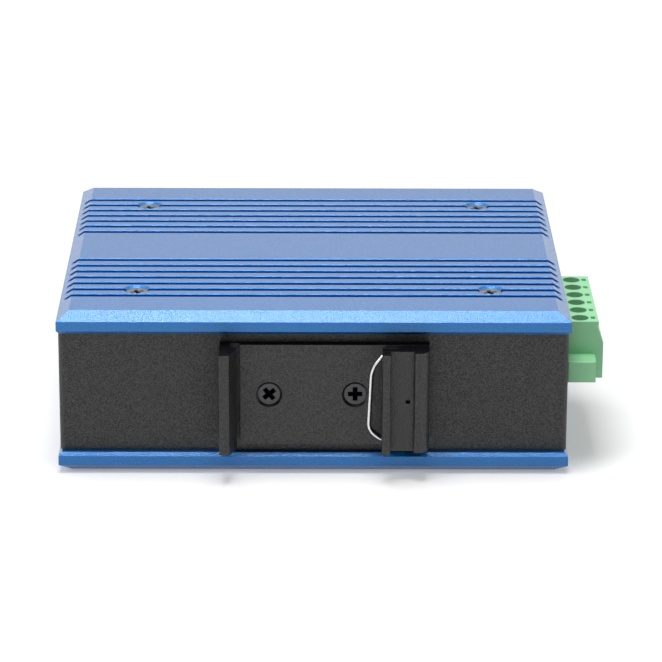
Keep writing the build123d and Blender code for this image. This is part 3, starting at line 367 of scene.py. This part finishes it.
def solder_mask(name, tone):
    """Glass-fibre board under green solder mask: copper tracks show as slightly raised, lighter lines."""
    material, tree, shader, place = start_material(name)
    tracks = add_node(tree, "ShaderNodeTexBrick", {"Vector": place, "Scale": grain_scale(6.0),
                                                   "Mortar Size": 0.03, "Mortar Smooth": 0.3,
                                                   "Brick Width": 0.9, "Row Height": 0.32})
    mix = add_node(tree, "ShaderNodeMix", {0: tracks.outputs["Fac"], 6: opaque(tone), 7: opaque(tone, 1.6)},
                   data_type="RGBA")
    tree.links.new(mix.outputs[2], shader.inputs["Base Color"])
    shader.inputs["Roughness"].default_value = 0.32
    edges = add_node(tree, "ShaderNodeBevel", {"Radius": 0.05 * MM}, samples=4)
    bump = add_node(tree, "ShaderNodeBump", {"Height": tracks.outputs["Fac"], "Strength": 1.0,
                                             "Distance": 0.02 * MM, "Normal": edges.outputs["Normal"]})
    tree.links.new(bump.outputs["Normal"], shader.inputs["Normal"])
    return material


def diffused_lens(name, tone):
    """Tinted epoxy with a diffusing filler: soft, slightly milky and glossy."""
    material, tree, shader, place = start_material(name)
    shader.inputs["IOR"].default_value = 1.53
    shader.inputs["Subsurface Weight"].default_value = 0.3
    shader.inputs["Subsurface Scale"].default_value = 1.0 * MM
    tree.links.new(mottle(tree, place, tone, patch_mm=0.8, spread=0.06), shader.inputs["Base Color"])
    haze = add_node(tree, "ShaderNodeTexNoise", {"Vector": place, "Scale": grain_scale(0.5)})
    spread = add_node(tree, "ShaderNodeMapRange", {"Value": haze.outputs["Fac"], **NOISE_SPAN,
                                                   "To Min": 0.12, "To Max": 0.2})
    tree.links.new(spread.outputs["Result"], shader.inputs["Roughness"])
    return material


def dress(node_names, material):
    """Gives CAD nodes this material in every slot, and takes nothing else from them."""
    for name in node_names:
        node = frame["nodes"][name]
        if not node.material_slots:
            node.data.materials.append(material)
        for slot in node.material_slots:
            slot.link = "OBJECT"
            slot.material = material


def new_mesh(name, corners, edges=(), faces=()):
    """A mesh from its corners, with edges or faces given by the corners' numbers."""
    mesh = bpy.data.meshes.new(name)
    mesh.from_pydata([Vector(c) for c in corners], list(edges), list(faces))
    mesh.update()
    return mesh


def place_mesh(name, mesh):
    """An object at the origin that shows the mesh."""
    piece = bpy.data.objects.new(name, mesh)
    bpy.context.scene.collection.objects.link(piece)
    return piece


FLOAT = "NodeSocketFloat"
WHOLE = "NodeSocketInt"
PAINT = "NodeSocketMaterial"


def start_tree(name, sizes):
    """A geometry node group with one geometry in, one out, and a named input for each size."""
    tree = bpy.data.node_groups.new(name, "GeometryNodeTree")
    tree.interface.new_socket("Geometry", in_out="INPUT", socket_type="NodeSocketGeometry")
    tree.interface.new_socket("Geometry", in_out="OUTPUT", socket_type="NodeSocketGeometry")
    for label, kind in sizes.items():
        tree.interface.new_socket(label, in_out="INPUT", socket_type=kind)
    return tree, add_node(tree, "NodeGroupInput")


def end_tree(tree, given, geometry):
    """Makes the geometry real, gives it the tree's material and passes it out."""
    real = add_node(tree, "GeometryNodeRealizeInstances", {"Geometry": geometry})
    finish = add_node(tree, "GeometryNodeSetMaterial", {"Geometry": real.outputs["Geometry"],
                                                        "Material": given.outputs["Material"]})
    add_node(tree, "NodeGroupOutput", {"Geometry": finish.outputs["Geometry"]})


def run_tree(piece, tree, values):
    """Runs the tree on the piece once and keeps the result as its plain mesh."""
    modifier = piece.modifiers.new(tree.name, "NODES")
    modifier.node_group = tree
    for item in tree.interface.items_tree:
        if item.item_type == "SOCKET" and item.in_out == "INPUT" and item.name in values:
            modifier[item.identifier] = values[item.name]
    bpy.context.view_layer.update()
    evaluated = piece.evaluated_get(bpy.context.evaluated_depsgraph_get())
    mesh = bpy.data.meshes.new_from_object(evaluated)
    mesh.name = piece.name
    piece.modifiers.remove(modifier)
    piece.data = mesh


def wire_tree():
    """Bends a polyline by each corner's own radius and gives it a round section."""
    tree, given = start_tree("Bend wire", {"Radius": FLOAT, "Material": PAINT})
    bend = add_node(tree, "GeometryNodeInputNamedAttribute", {"Name": "bend"}, data_type="FLOAT")
    line = add_node(tree, "GeometryNodeMeshToCurve", {"Mesh": given.outputs["Geometry"]})
    curve = add_node(tree, "GeometryNodeFilletCurve", {"Curve": line.outputs["Curve"], "Count": 10,
                                                       "Radius": bend.outputs["Attribute"]}, mode="POLY")
    ring = add_node(tree, "GeometryNodeCurvePrimitiveCircle", {"Resolution": 20,
                                                               "Radius": given.outputs["Radius"]})
    tube = add_node(tree, "GeometryNodeCurveToMesh", {"Curve": curve.outputs["Curve"], "Fill Caps": True,
                                                      "Profile Curve": ring.outputs["Curve"]})
    smooth = add_node(tree, "GeometryNodeSetShadeSmooth", {"Geometry": tube.outputs["Mesh"]})
    end_tree(tree, given, smooth.outputs["Geometry"])
    return tree


def ring_of_rows_tree():
    """Sets the given piece in a row along each side of a rectangle, facing outwards."""
    tree, given = start_tree("Rows round a rectangle", {
        "Long count": WHOLE, "Short count": WHOLE, "Pitch": FLOAT, "Half length": FLOAT, "Half width": FLOAT,
        "Material": PAINT})
    sides = add_node(tree, "GeometryNodeJoinGeometry")
    for turn in range(4):
        on_long_side = turn % 2 == 0
        count = given.outputs["Long count" if on_long_side else "Short count"]
        reach = given.outputs["Half width" if on_long_side else "Half length"]
        gaps = add_node(tree, "ShaderNodeMath", {0: count, 1: 1.0}, operation="SUBTRACT")
        start = add_node(tree, "ShaderNodeMath", {0: gaps.outputs[0], 1: given.outputs["Pitch"]},
                         operation="MULTIPLY")
        half = add_node(tree, "ShaderNodeMath", {0: start.outputs[0], 1: -0.5}, operation="MULTIPLY")
        back = add_node(tree, "ShaderNodeMath", {0: reach, 1: -1.0}, operation="MULTIPLY")
        first = add_node(tree, "ShaderNodeCombineXYZ", {"X": half.outputs[0], "Y": back.outputs[0]})
        step = add_node(tree, "ShaderNodeCombineXYZ", {"X": given.outputs["Pitch"]})
        row = add_node(tree, "GeometryNodeMeshLine", {"Count": count, "Start Location": first.outputs[0],
                                                      "Offset": step.outputs[0]}, mode="OFFSET")
        set_out = add_node(tree, "GeometryNodeInstanceOnPoints", {"Points": row.outputs["Mesh"],
                                                                  "Instance": given.outputs["Geometry"]})
        turned = add_node(tree, "GeometryNodeTransform", {"Geometry": set_out.outputs["Instances"],
                                                          "Rotation": (0, 0, turn * pi / 2)})
        tree.links.new(turned.outputs["Geometry"], sides.inputs["Geometry"])
    end_tree(tree, given, sides.outputs["Geometry"])
    return tree


def fillet_tree():
    """A hollow-sided solder fillet, revolved, on every given point."""
    waist = 0.35
    tree, given = start_tree("Solder joints", {"Radius": FLOAT, "Height": FLOAT, "Material": PAINT})
    height = given.outputs["Height"]
    cone = add_node(tree, "GeometryNodeMeshCone", {
        "Vertices": 16, "Side Segments": 5, "Fill Segments": 1, "Radius Top": 0.0,
        "Radius Bottom": given.outputs["Radius"], "Depth": height}, fill_type="TRIANGLE_FAN")
    place = add_node(tree, "GeometryNodeInputPosition")
    split = add_node(tree, "ShaderNodeSeparateXYZ", {"Vector": place.outputs[0]})
    share = add_node(tree, "ShaderNodeMath", {0: split.outputs["Z"], 1: height}, operation="DIVIDE")
    bow = add_node(tree, "ShaderNodeMath", {0: share.outputs[0], 1: pi}, operation="MULTIPLY")
    pull = add_node(tree, "ShaderNodeMath", {0: bow.outputs[0]}, operation="SINE")
    narrow = add_node(tree, "ShaderNodeMath", {0: pull.outputs[0], 1: -waist, 2: 1.0},
                      operation="MULTIPLY_ADD")
    x = add_node(tree, "ShaderNodeMath", {0: split.outputs["X"], 1: narrow.outputs[0]},
                 operation="MULTIPLY")
    y = add_node(tree, "ShaderNodeMath", {0: split.outputs["Y"], 1: narrow.outputs[0]},
                 operation="MULTIPLY")
    spot = add_node(tree, "ShaderNodeCombineXYZ", {"X": x.outputs[0], "Y": y.outputs[0],
                                                   "Z": split.outputs["Z"]})
    shaped = add_node(tree, "GeometryNodeSetPosition", {"Geometry": cone.outputs["Mesh"],
                                                        "Position": spot.outputs[0]})
    # The joints hang under the board
    down = add_node(tree, "GeometryNodeTransform", {"Geometry": shaped.outputs["Geometry"],
                                                    "Rotation": (pi, 0, 0)})
    smooth = add_node(tree, "GeometryNodeSetShadeSmooth", {"Geometry": down.outputs["Geometry"]})
    points = add_node(tree, "GeometryNodeMeshToPoints", {"Mesh": given.outputs["Geometry"]})
    joints = add_node(tree, "GeometryNodeInstanceOnPoints", {"Points": points.outputs["Points"],
                                                             "Instance": smooth.outputs["Geometry"]})
    end_tree(tree, given, joints.outputs["Instances"])
    return tree


def strip_mesh(name, profile, width, thickness):
    """A bent strip: the profile, in Y and Z, given a thickness and a width along X."""
    mesh = bmesh.new()
    rows = []
    for i, (y, z) in enumerate(profile):
        before = Vector(profile[max(i - 1, 0)])
        after = Vector(profile[min(i + 1, len(profile) - 1)])
        run = (after - before).normalized()
        side = Vector((-run.y, run.x)) * thickness / 2
        row = [mesh.verts.new((x, y + s * side.x, z + s * side.y))
               for x, s in ((-width / 2, -1), (width / 2, -1), (width / 2, 1), (-width / 2, 1))]
        rows.append(row)
    for a, b in zip(rows, rows[1:]):
        for i in range(4):
            mesh.faces.new((a[i], a[(i + 1) % 4], b[(i + 1) % 4], b[i]))
    mesh.faces.new(rows[0][::-1])
    mesh.faces.new(rows[-1])
    bmesh.ops.recalc_face_normals(mesh, faces=mesh.faces)
    strip = bpy.data.meshes.new(name)
    mesh.to_mesh(strip)
    mesh.free()
    return strip


class FinishPanels(Operator):
    """Dresses the two fin panels and their sunk screws"""
    bl_idname = "converter.finish_panels"
    bl_label = "Fin panels"

    def execute(self, context):
        tones = context.scene.converter_finishes
        blue = blasted_anodised_aluminium("blue_blasted_anodised_aluminium", tones.panel_blue)
        dress(["upper_fin_panel", "lower_fin_panel"], blue)
        nickel = plated_metal("nickel_plated_steel", tones.nickel, rough=0.3)
        dress(["board_screws", "board_standoffs", "clamp_screws", "clamp_cages", "earth_screw",
               "earth_washer", "guide_pins"], nickel)
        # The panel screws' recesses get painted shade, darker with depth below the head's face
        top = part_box("upper_panel_screws")[1].z
        dress(["upper_panel_screws"], plated_metal("nickel_screws_with_dull_recess", tones.head_nickel,
                                                   rough=0.3, face=("Z", top, -1)))
        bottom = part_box("lower_panel_screws")[0].z
        dress(["lower_panel_screws"], plated_metal("nickel_screws_facing_down", tones.head_nickel,
                                                   rough=0.3, face=("Z", bottom, 1)))
        return {"FINISHED"}


class FinishHousing(Operator):
    """Dresses the folded housing, its front cover and the cover's screws"""
    bl_idname = "converter.finish_housing"
    bl_label = "Housing"

    def execute(self, context):
        tones = context.scene.converter_finishes
        dress(["housing_shell", "front_cover"], powder_coat("black_powder_coated_steel", tones.coat_black))
        dress(["cover_screws"], plated_metal("black_zinc_plated_steel", tones.screw_black, rough=0.3))
        return {"FINISHED"}


class FinishClip(Operator):
    """Dresses the rail clip's plate, hook and sliding jaw"""
    bl_idname = "converter.finish_clip"
    bl_label = "Rail clip"

    def execute(self, context):
        tones = context.scene.converter_finishes
        black = black_anodised_extrusion("black_anodised_aluminium", tones.clip_black)
        dress(["clip_base", "rail_jaw"], black)
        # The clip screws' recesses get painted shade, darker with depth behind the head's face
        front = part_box("clip_screws")[0].y
        dress(["clip_screws"], plated_metal("black_zinc_screws_with_dull_recess", tones.screw_black,
                                            rough=0.3, face=("Y", front, 1)))
        return {"FINISHED"}


class BendSpringWire(Operator):
    """Bends the jaw's spring from round wire"""
    bl_idname = "converter.bend_spring_wire"
    bl_label = "Spring wire"

    def execute(self, context):
        trims = context.scene.converter_trims
        low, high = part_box("jaw_spring")
        middle = (low.z + high.z) / 2
        depth = low.y + trims.wire_radius
        leg = trims.wire_leg_z
        anchor = trims.wire_anchor_x
        bow = trims.wire_bow_x
        shoulder = bow + 3.56 * MM
        upper_bow = bow + 0.57 * MM
        lower_shoulder = bow + 2.59 * MM
        # From the upper leg under the jaw, round the bow, to the lower leg: each bend's place, its height in
        # legs and its radius in millimetres
        bends = [(anchor, 1, 0.6), (shoulder, 1, 3.0), (upper_bow, 0.604, 6.0), (bow, -0.792, 3.2),
                 (lower_shoulder, -1, 2.5), (anchor, -1, 0.6)]
        corners = [(x, depth, middle + share * leg) for x, share, radius in bends]
        # The wire's ends turn into the plate, and have no bend of their own
        corners = [(anchor, high.y, middle + leg)] + corners + [(anchor, high.y, middle - leg)]
        radii = [0] + [radius for x, share, radius in bends] + [0]
        mesh = new_mesh("jaw_wire", corners, [(i, i + 1) for i in range(len(corners) - 1)])
        bend = mesh.attributes.new("bend", "FLOAT", "POINT")
        for item, radius in zip(bend.data, radii):
            item.value = radius * MM
        wire = place_mesh("jaw_wire", mesh)
        steel = plated_metal("drawn_spring_steel", context.scene.converter_finishes.steel_wire, rough=0.14)
        run_tree(wire, wire_tree(), {"Radius": trims.wire_radius, "Material": steel})
        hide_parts("jaw_spring")
        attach(wire, "converter")
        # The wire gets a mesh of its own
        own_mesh(wire)
        return {"FINISHED"}


class FinishTerminal(Operator):
    """Dresses the terminal plug, its header and their contacts"""
    bl_idname = "converter.finish_terminal"
    bl_label = "Terminal"

    def execute(self, context):
        tones = context.scene.converter_finishes
        green = moulded_plastic("green_moulded_nylon", tones.terminal_green, rough=0.42, texture_mm=0.3)
        dress(["terminal_plug", "terminal_header"], green)
        tin = plated_metal("bright_tinned_copper", tones.tin, rough=0.2, edge_mm=0.05)
        dress(["header_pins", "plug_contacts", "lamp_leads"], tin)
        return {"FINISHED"}


class FinishPorts(Operator):
    """Dresses the two ports, the status lamps and the mode switch"""
    bl_idname = "converter.finish_ports"
    bl_label = "Ports and switch"

    def execute(self, context):
        tones = context.scene.converter_finishes
        sheet = brushed_sheet("tinned_sheet", tones.tin, along=(1.0, 0.03, 1.0))
        dress(["rj45_shield", "module_cage"], sheet)
        black = moulded_plastic("black_moulded_plastic", tones.port_black, rough=0.4)
        dress(["rj45_insert", "module_socket"], black)
        gold = plated_metal("gold_flashed_bronze", tones.gold, rough=0.16, edge_mm=0.05)
        dress(["rj45_contacts"], gold)
        dress(["status_lamps"], diffused_lens("green_diffused_epoxy", tones.lamp_green))
        dress(["mode_switch"], moulded_plastic("red_moulded_plastic", tones.switch_red, rough=0.36))
        levers = [f"mode_lever_{n}" for n in range(1, 5)]
        dress(levers, moulded_plastic("white_moulded_plastic", tones.lever_white, rough=0.34))
        return {"FINISHED"}


class FinishBoard(Operator):
    """Dresses the circuit board and the parts soldered on it"""
    bl_idname = "converter.finish_board"
    bl_label = "Circuit board"

    def execute(self, context):
        tones = context.scene.converter_finishes
        dress(["circuit_board"], solder_mask("green_solder_mask", tones.board_green))
        chip = moulded_plastic("black_moulded_epoxy", tones.chip_black, rough=0.5, texture_mm=0.12,
                               edge_mm=0.05)
        dress(["switch_chip", "phy_chip", "line_transformer"], chip)
        dress(["alarm_relay"], moulded_plastic("white_relay_case", tones.relay_white, rough=0.36))
        dress(["clock_crystal"], plated_metal("drawn_crystal_can", tones.tin, rough=0.24))
        dress(["power_inductors"], moulded_plastic("sintered_ferrite", tones.ferrite, rough=0.6))
        dress(["smoothing_capacitors"], plated_metal("aluminium_can", tones.can_silver, rough=0.3))
        return {"FINISHED"}


class AddChipLegs(Operator):
    """Sets the gull-wing legs round the two chips"""
    bl_idname = "converter.add_chip_legs"
    bl_label = "Chip legs"

    def execute(self, context):
        trims = context.scene.converter_trims
        tree = ring_of_rows_tree()
        tones = context.scene.converter_finishes
        tin = plated_metal("tinned_chip_legs", tones.tin, rough=0.2, edge_mm=0.03)
        # The lead strip's thickness, how far it starts inside the body, and its height at heel and toe
        strip = 0.14 * MM
        root = 0.3 * MM
        heel = 0.09 * MM
        toe = 0.08 * MM
        for node, count, foot in (("switch_chip", trims.switch_legs, trims.switch_foot),
                                  ("phy_chip", trims.phy_legs, trims.phy_foot)):
            low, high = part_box(node)
            rise = (high.z - low.z) * 0.5
            # From inside the body, out, down in a gull wing and flat on the board
            profile = [(root, rise), (-0.28 * foot, rise), (-0.42 * foot, rise * 0.8),
                       (-0.55 * foot, rise * 0.25), (-0.68 * foot, heel), (-foot, toe)]
            legs = place_mesh(f"{node}_legs", strip_mesh(f"{node}_leg", profile, trims.leg_width, strip))
            half = (high.x - low.x) / 2
            run_tree(legs, tree, {"Long count": count, "Short count": count, "Pitch": trims.leg_pitch,
                                  "Half length": half, "Half width": half, "Material": tin})
            legs.data.transform(Matrix.Translation(((low.x + high.x) / 2, (low.y + high.y) / 2, low.z)))
            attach(legs, "converter")
        return {"FINISHED"}


class AddCageFingers(Operator):
    """Sets the sprung contact fingers round the module cage's mouth"""
    bl_idname = "converter.add_cage_fingers"
    bl_label = "Cage fingers"

    def execute(self, context):
        trims = context.scene.converter_trims
        low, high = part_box("module_cage")
        proud = high.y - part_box("front_cover")[1].y
        skin = 0.12 * MM
        # Rolled over the cage's front edge, bowed outwards, and back against the cover
        profile = [(0.25 * MM, -0.4 * MM), (0.22 * MM, -0.05 * MM), (0.05 * MM, 0.08 * MM),
                   (-0.25 * MM, 0.02 * MM), (-0.62 * MM, -0.22 * MM), (-0.8 * MM, skin / 2 - proud)]
        finger = strip_mesh("cage_finger", profile, trims.finger_width, skin)
        fingers = place_mesh("module_cage_fingers", finger)
        tones = context.scene.converter_finishes
        tin = brushed_sheet("tinned_spring_fingers", tones.tin, along=(1.0, 0.1, 1.0))
        run_tree(fingers, ring_of_rows_tree(), {
            "Long count": trims.long_count, "Short count": trims.short_count,
            "Pitch": trims.finger_width + trims.finger_gap, "Half length": (high.x - low.x) / 2,
            "Half width": (high.z - low.z) / 2, "Material": tin})
        # The rows are made lying flat; stand them up to face out of the front
        stand = Matrix.Rotation(-pi / 2, 4, "X")
        mouth = Matrix.Translation(((low.x + high.x) / 2, high.y, (low.z + high.z) / 2))
        fingers.data.transform(mouth @ stand)
        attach(fingers, "converter")
        return {"FINISHED"}


class AddSolderJoints(Operator):
    """Sets a solder joint under the board round each pin of the terminal header"""
    bl_idname = "converter.add_solder_joints"
    bl_label = "Solder joints"

    def execute(self, context):
        trims = context.scene.converter_trims
        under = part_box("circuit_board")[0].z
        pins_low, pins_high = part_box("header_pins")
        pin_count = 6
        half_pin = 0.5 * MM
        x = pins_low.x + half_pin
        first = pins_low.y + half_pin
        row = pins_high.y - half_pin - first
        spots = [(x, first + row * pin / (pin_count - 1), under) for pin in range(pin_count)]
        joints = place_mesh("solder_joints", new_mesh("solder_spots", spots))
        solder = plated_metal("reflowed_solder", context.scene.converter_finishes.solder, rough=0.18)
        run_tree(joints, fillet_tree(), {"Radius": trims.fillet_radius, "Height": trims.fillet_height,
                                         "Material": solder})
        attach(joints, "converter")
        return {"FINISHED"}


def hang_softbox(name, place, width, depth, radiance, aimed=False):
    """An area lamp with a face of this radiance, looking straight down or at the middle of the floor."""
    lamp = bpy.data.lights.new(name, "AREA")
    lamp.shape = "RECTANGLE"
    lamp.size = width
    lamp.size_y = depth
    lamp.energy = radiance * pi * width * depth
    softbox = bpy.data.objects.new(name, lamp)
    softbox.location = place
    if aimed:
        softbox.rotation_euler = (-softbox.location).to_track_quat("-Z", "Y").to_euler()
    bpy.context.scene.collection.objects.link(softbox)


def white_paper(name, stage):
    """Matt studio paper that looks paler than the light on it, and pure white further out."""
    material = bpy.data.materials.new(name)
    material.use_nodes = True
    tree = material.node_tree
    tree.nodes.clear()
    matt = add_node(tree, "ShaderNodeBsdfDiffuse", {"Color": opaque(stage.floor_tone)})
    # From 0.17 m out, past the object's shadow, the paper sweeps up into white at 0.6 m
    spot = add_node(tree, "ShaderNodeTexCoord").outputs["Object"]
    reach = add_node(tree, "ShaderNodeVectorMath", {0: spot}, operation="LENGTH")
    lift = add_node(tree, "ShaderNodeMapRange", {"Value": reach.outputs["Value"], "From Min": 0.17,
                                                 "From Max": 0.6, "To Min": stage.floor_lift, "To Max": 1.0})
    glow = add_node(tree, "ShaderNodeEmission", {"Color": WHITE, "Strength": lift.outputs["Result"]})
    both = add_node(tree, "ShaderNodeAddShader", {0: matt.outputs[0], 1: glow.outputs[0]})
    seen = add_node(tree, "ShaderNodeMixShader", {0: looked_at(tree), 1: matt.outputs[0],
                                                  2: both.outputs[0]})
    add_node(tree, "ShaderNodeOutputMaterial", {"Surface": seen.outputs[0]})
    return material


def even_room_light(name, stage):
    """Even light from all round, less from the dark side; straight ahead the camera sees plain white."""
    world = bpy.data.worlds.new(name)
    world.use_nodes = True
    tree = world.node_tree
    tree.nodes.clear()
    # The studio is dark behind the camera, from the table up to the height of the softboxes
    way = add_node(tree, "ShaderNodeTexCoord").outputs["Generated"]
    part = add_node(tree, "ShaderNodeSeparateXYZ", {"Vector": way})
    front = add_node(tree, "ShaderNodeMapRange", {"Value": part.outputs["Y"], "From Min": -0.7,
                                                  "From Max": -0.25, "To Min": 1, "To Max": 0})
    low = add_node(tree, "ShaderNodeMapRange", {"Value": part.outputs["Z"], "From Min": 0.35,
                                                "From Max": 0.75, "To Min": 1, "To Max": 0})
    dark = add_node(tree, "ShaderNodeMath", {0: front.outputs["Result"], 1: low.outputs["Result"]},
                    operation="MULTIPLY")
    left = add_node(tree, "ShaderNodeMath", {0: dark.outputs[0], 1: -stage.front_shade, 2: 1.0},
                    operation="MULTIPLY_ADD").outputs[0]
    tint = add_node(tree, "ShaderNodeCombineColor", {"Red": left, "Green": left, "Blue": left}).outputs[0]
    room = add_node(tree, "ShaderNodeBackground", {"Color": tint, "Strength": stage.sky_glow})
    mirrored = add_node(tree, "ShaderNodeBackground", {"Color": tint, "Strength": 1.0})
    seen = add_node(tree, "ShaderNodeMixShader", {0: looked_at(tree), 1: room.outputs[0],
                                                  2: mirrored.outputs[0]})
    plain = add_node(tree, "ShaderNodeBackground", {"Color": WHITE, "Strength": 1.0})
    straight = add_node(tree, "ShaderNodeLightPath").outputs["Is Camera Ray"]
    backdrop = add_node(tree, "ShaderNodeMixShader", {0: straight, 1: seen.outputs[0], 2: plain.outputs[0]})
    add_node(tree, "ShaderNodeOutputWorld", {"Surface": backdrop.outputs[0]})
    return world


class SetStage(Operator):
    """Sets the floor, the soft light and the camera"""
    bl_idname = "converter.set_stage"
    bl_label = "Stage"

    def execute(self, context):
        stage = context.scene.converter_stage
        scene = context.scene
        corners = [(x * FLOOR_REACH, y * FLOOR_REACH, -FLOOR_GAP)
                   for x, y in ((-1, -1), (1, -1), (1, 1), (-1, 1))]
        floor = place_mesh("studio_floor", new_mesh("studio_floor", corners, faces=[(0, 1, 2, 3)]))
        floor.data.materials.append(white_paper("white_paper_floor", stage))
        scene.world = even_room_light("even_room_light", stage)
        hang_softbox("overhead_softbox", OVERHEAD_PLACE, stage.box_width, stage.box_depth, stage.box_glow)
        hang_softbox("left_softbox", LEFT_PLACE, stage.left_size, stage.left_size, stage.left_glow,
                     aimed=True)

        view = bpy.data.cameras.new("photo_view")
        view.sensor_width = 36.0
        view.lens = stage.lens
        view.clip_start = 0.01
        camera = bpy.data.objects.new("photo_view", view)
        camera.location = CAMERA_PLACE
        camera.rotation_euler = (stage.camera_tilt, CAMERA_ROLL, CAMERA_TURN)
        scene.collection.objects.link(camera)
        scene.camera = camera
        scene.view_settings.view_transform = "Standard"
        return {"FINISHED"}


# In the order that main calls them
STEPS = (SetStage, FinishPanels, FinishHousing, FinishClip, BendSpringWire, FinishTerminal, FinishPorts,
         FinishBoard, AddChipLegs, AddCageFingers, AddSolderJoints)


class ConverterPanel(Panel):
    """Lists the sizes, colours and steps of the converter"""
    bl_idname = "VIEW3D_PT_converter"
    bl_label = "Rail converter"
    bl_space_type = "VIEW_3D"
    bl_region_type = "UI"
    bl_category = "Converter"

    def draw(self, context):
        for group in (context.scene.converter_finishes, context.scene.converter_trims,
                      context.scene.converter_stage):
            box = self.layout.box()
            for name in group.__annotations__:
                box.prop(group, name)
        for step in STEPS:
            self.layout.operator(step.bl_idname)


GROUPS = {"converter_finishes": ConverterFinishes, "converter_trims": ConverterTrims,
          "converter_stage": ConverterStage}


def register():
    for group in GROUPS.values():
        bpy.utils.register_class(group)
    for step in STEPS:
        bpy.utils.register_class(step)
    bpy.utils.register_class(ConverterPanel)
    for name, group in GROUPS.items():
        setattr(bpy.types.Scene, name, PointerProperty(type=group))


def unregister():
    for name in GROUPS:
        delattr(bpy.types.Scene, name)
    bpy.utils.unregister_class(ConverterPanel)
    for step in reversed(STEPS):
        bpy.utils.unregister_class(step)
    for group in reversed(GROUPS.values()):
        bpy.utils.unregister_class(group)


def main():
    register()
    # Blender's own first objects go, and the frame's stay
    kept = set(frame["nodes"].values()) | set(frame["bodies"].values())
    for spare in [o for o in bpy.data.objects if o not in kept]:
        bpy.data.objects.remove(spare)
    for step in STEPS:
        area, action = step.bl_idname.split(".")
        getattr(getattr(bpy.ops, area), action)()


if __name__ == "__main__":
    main()
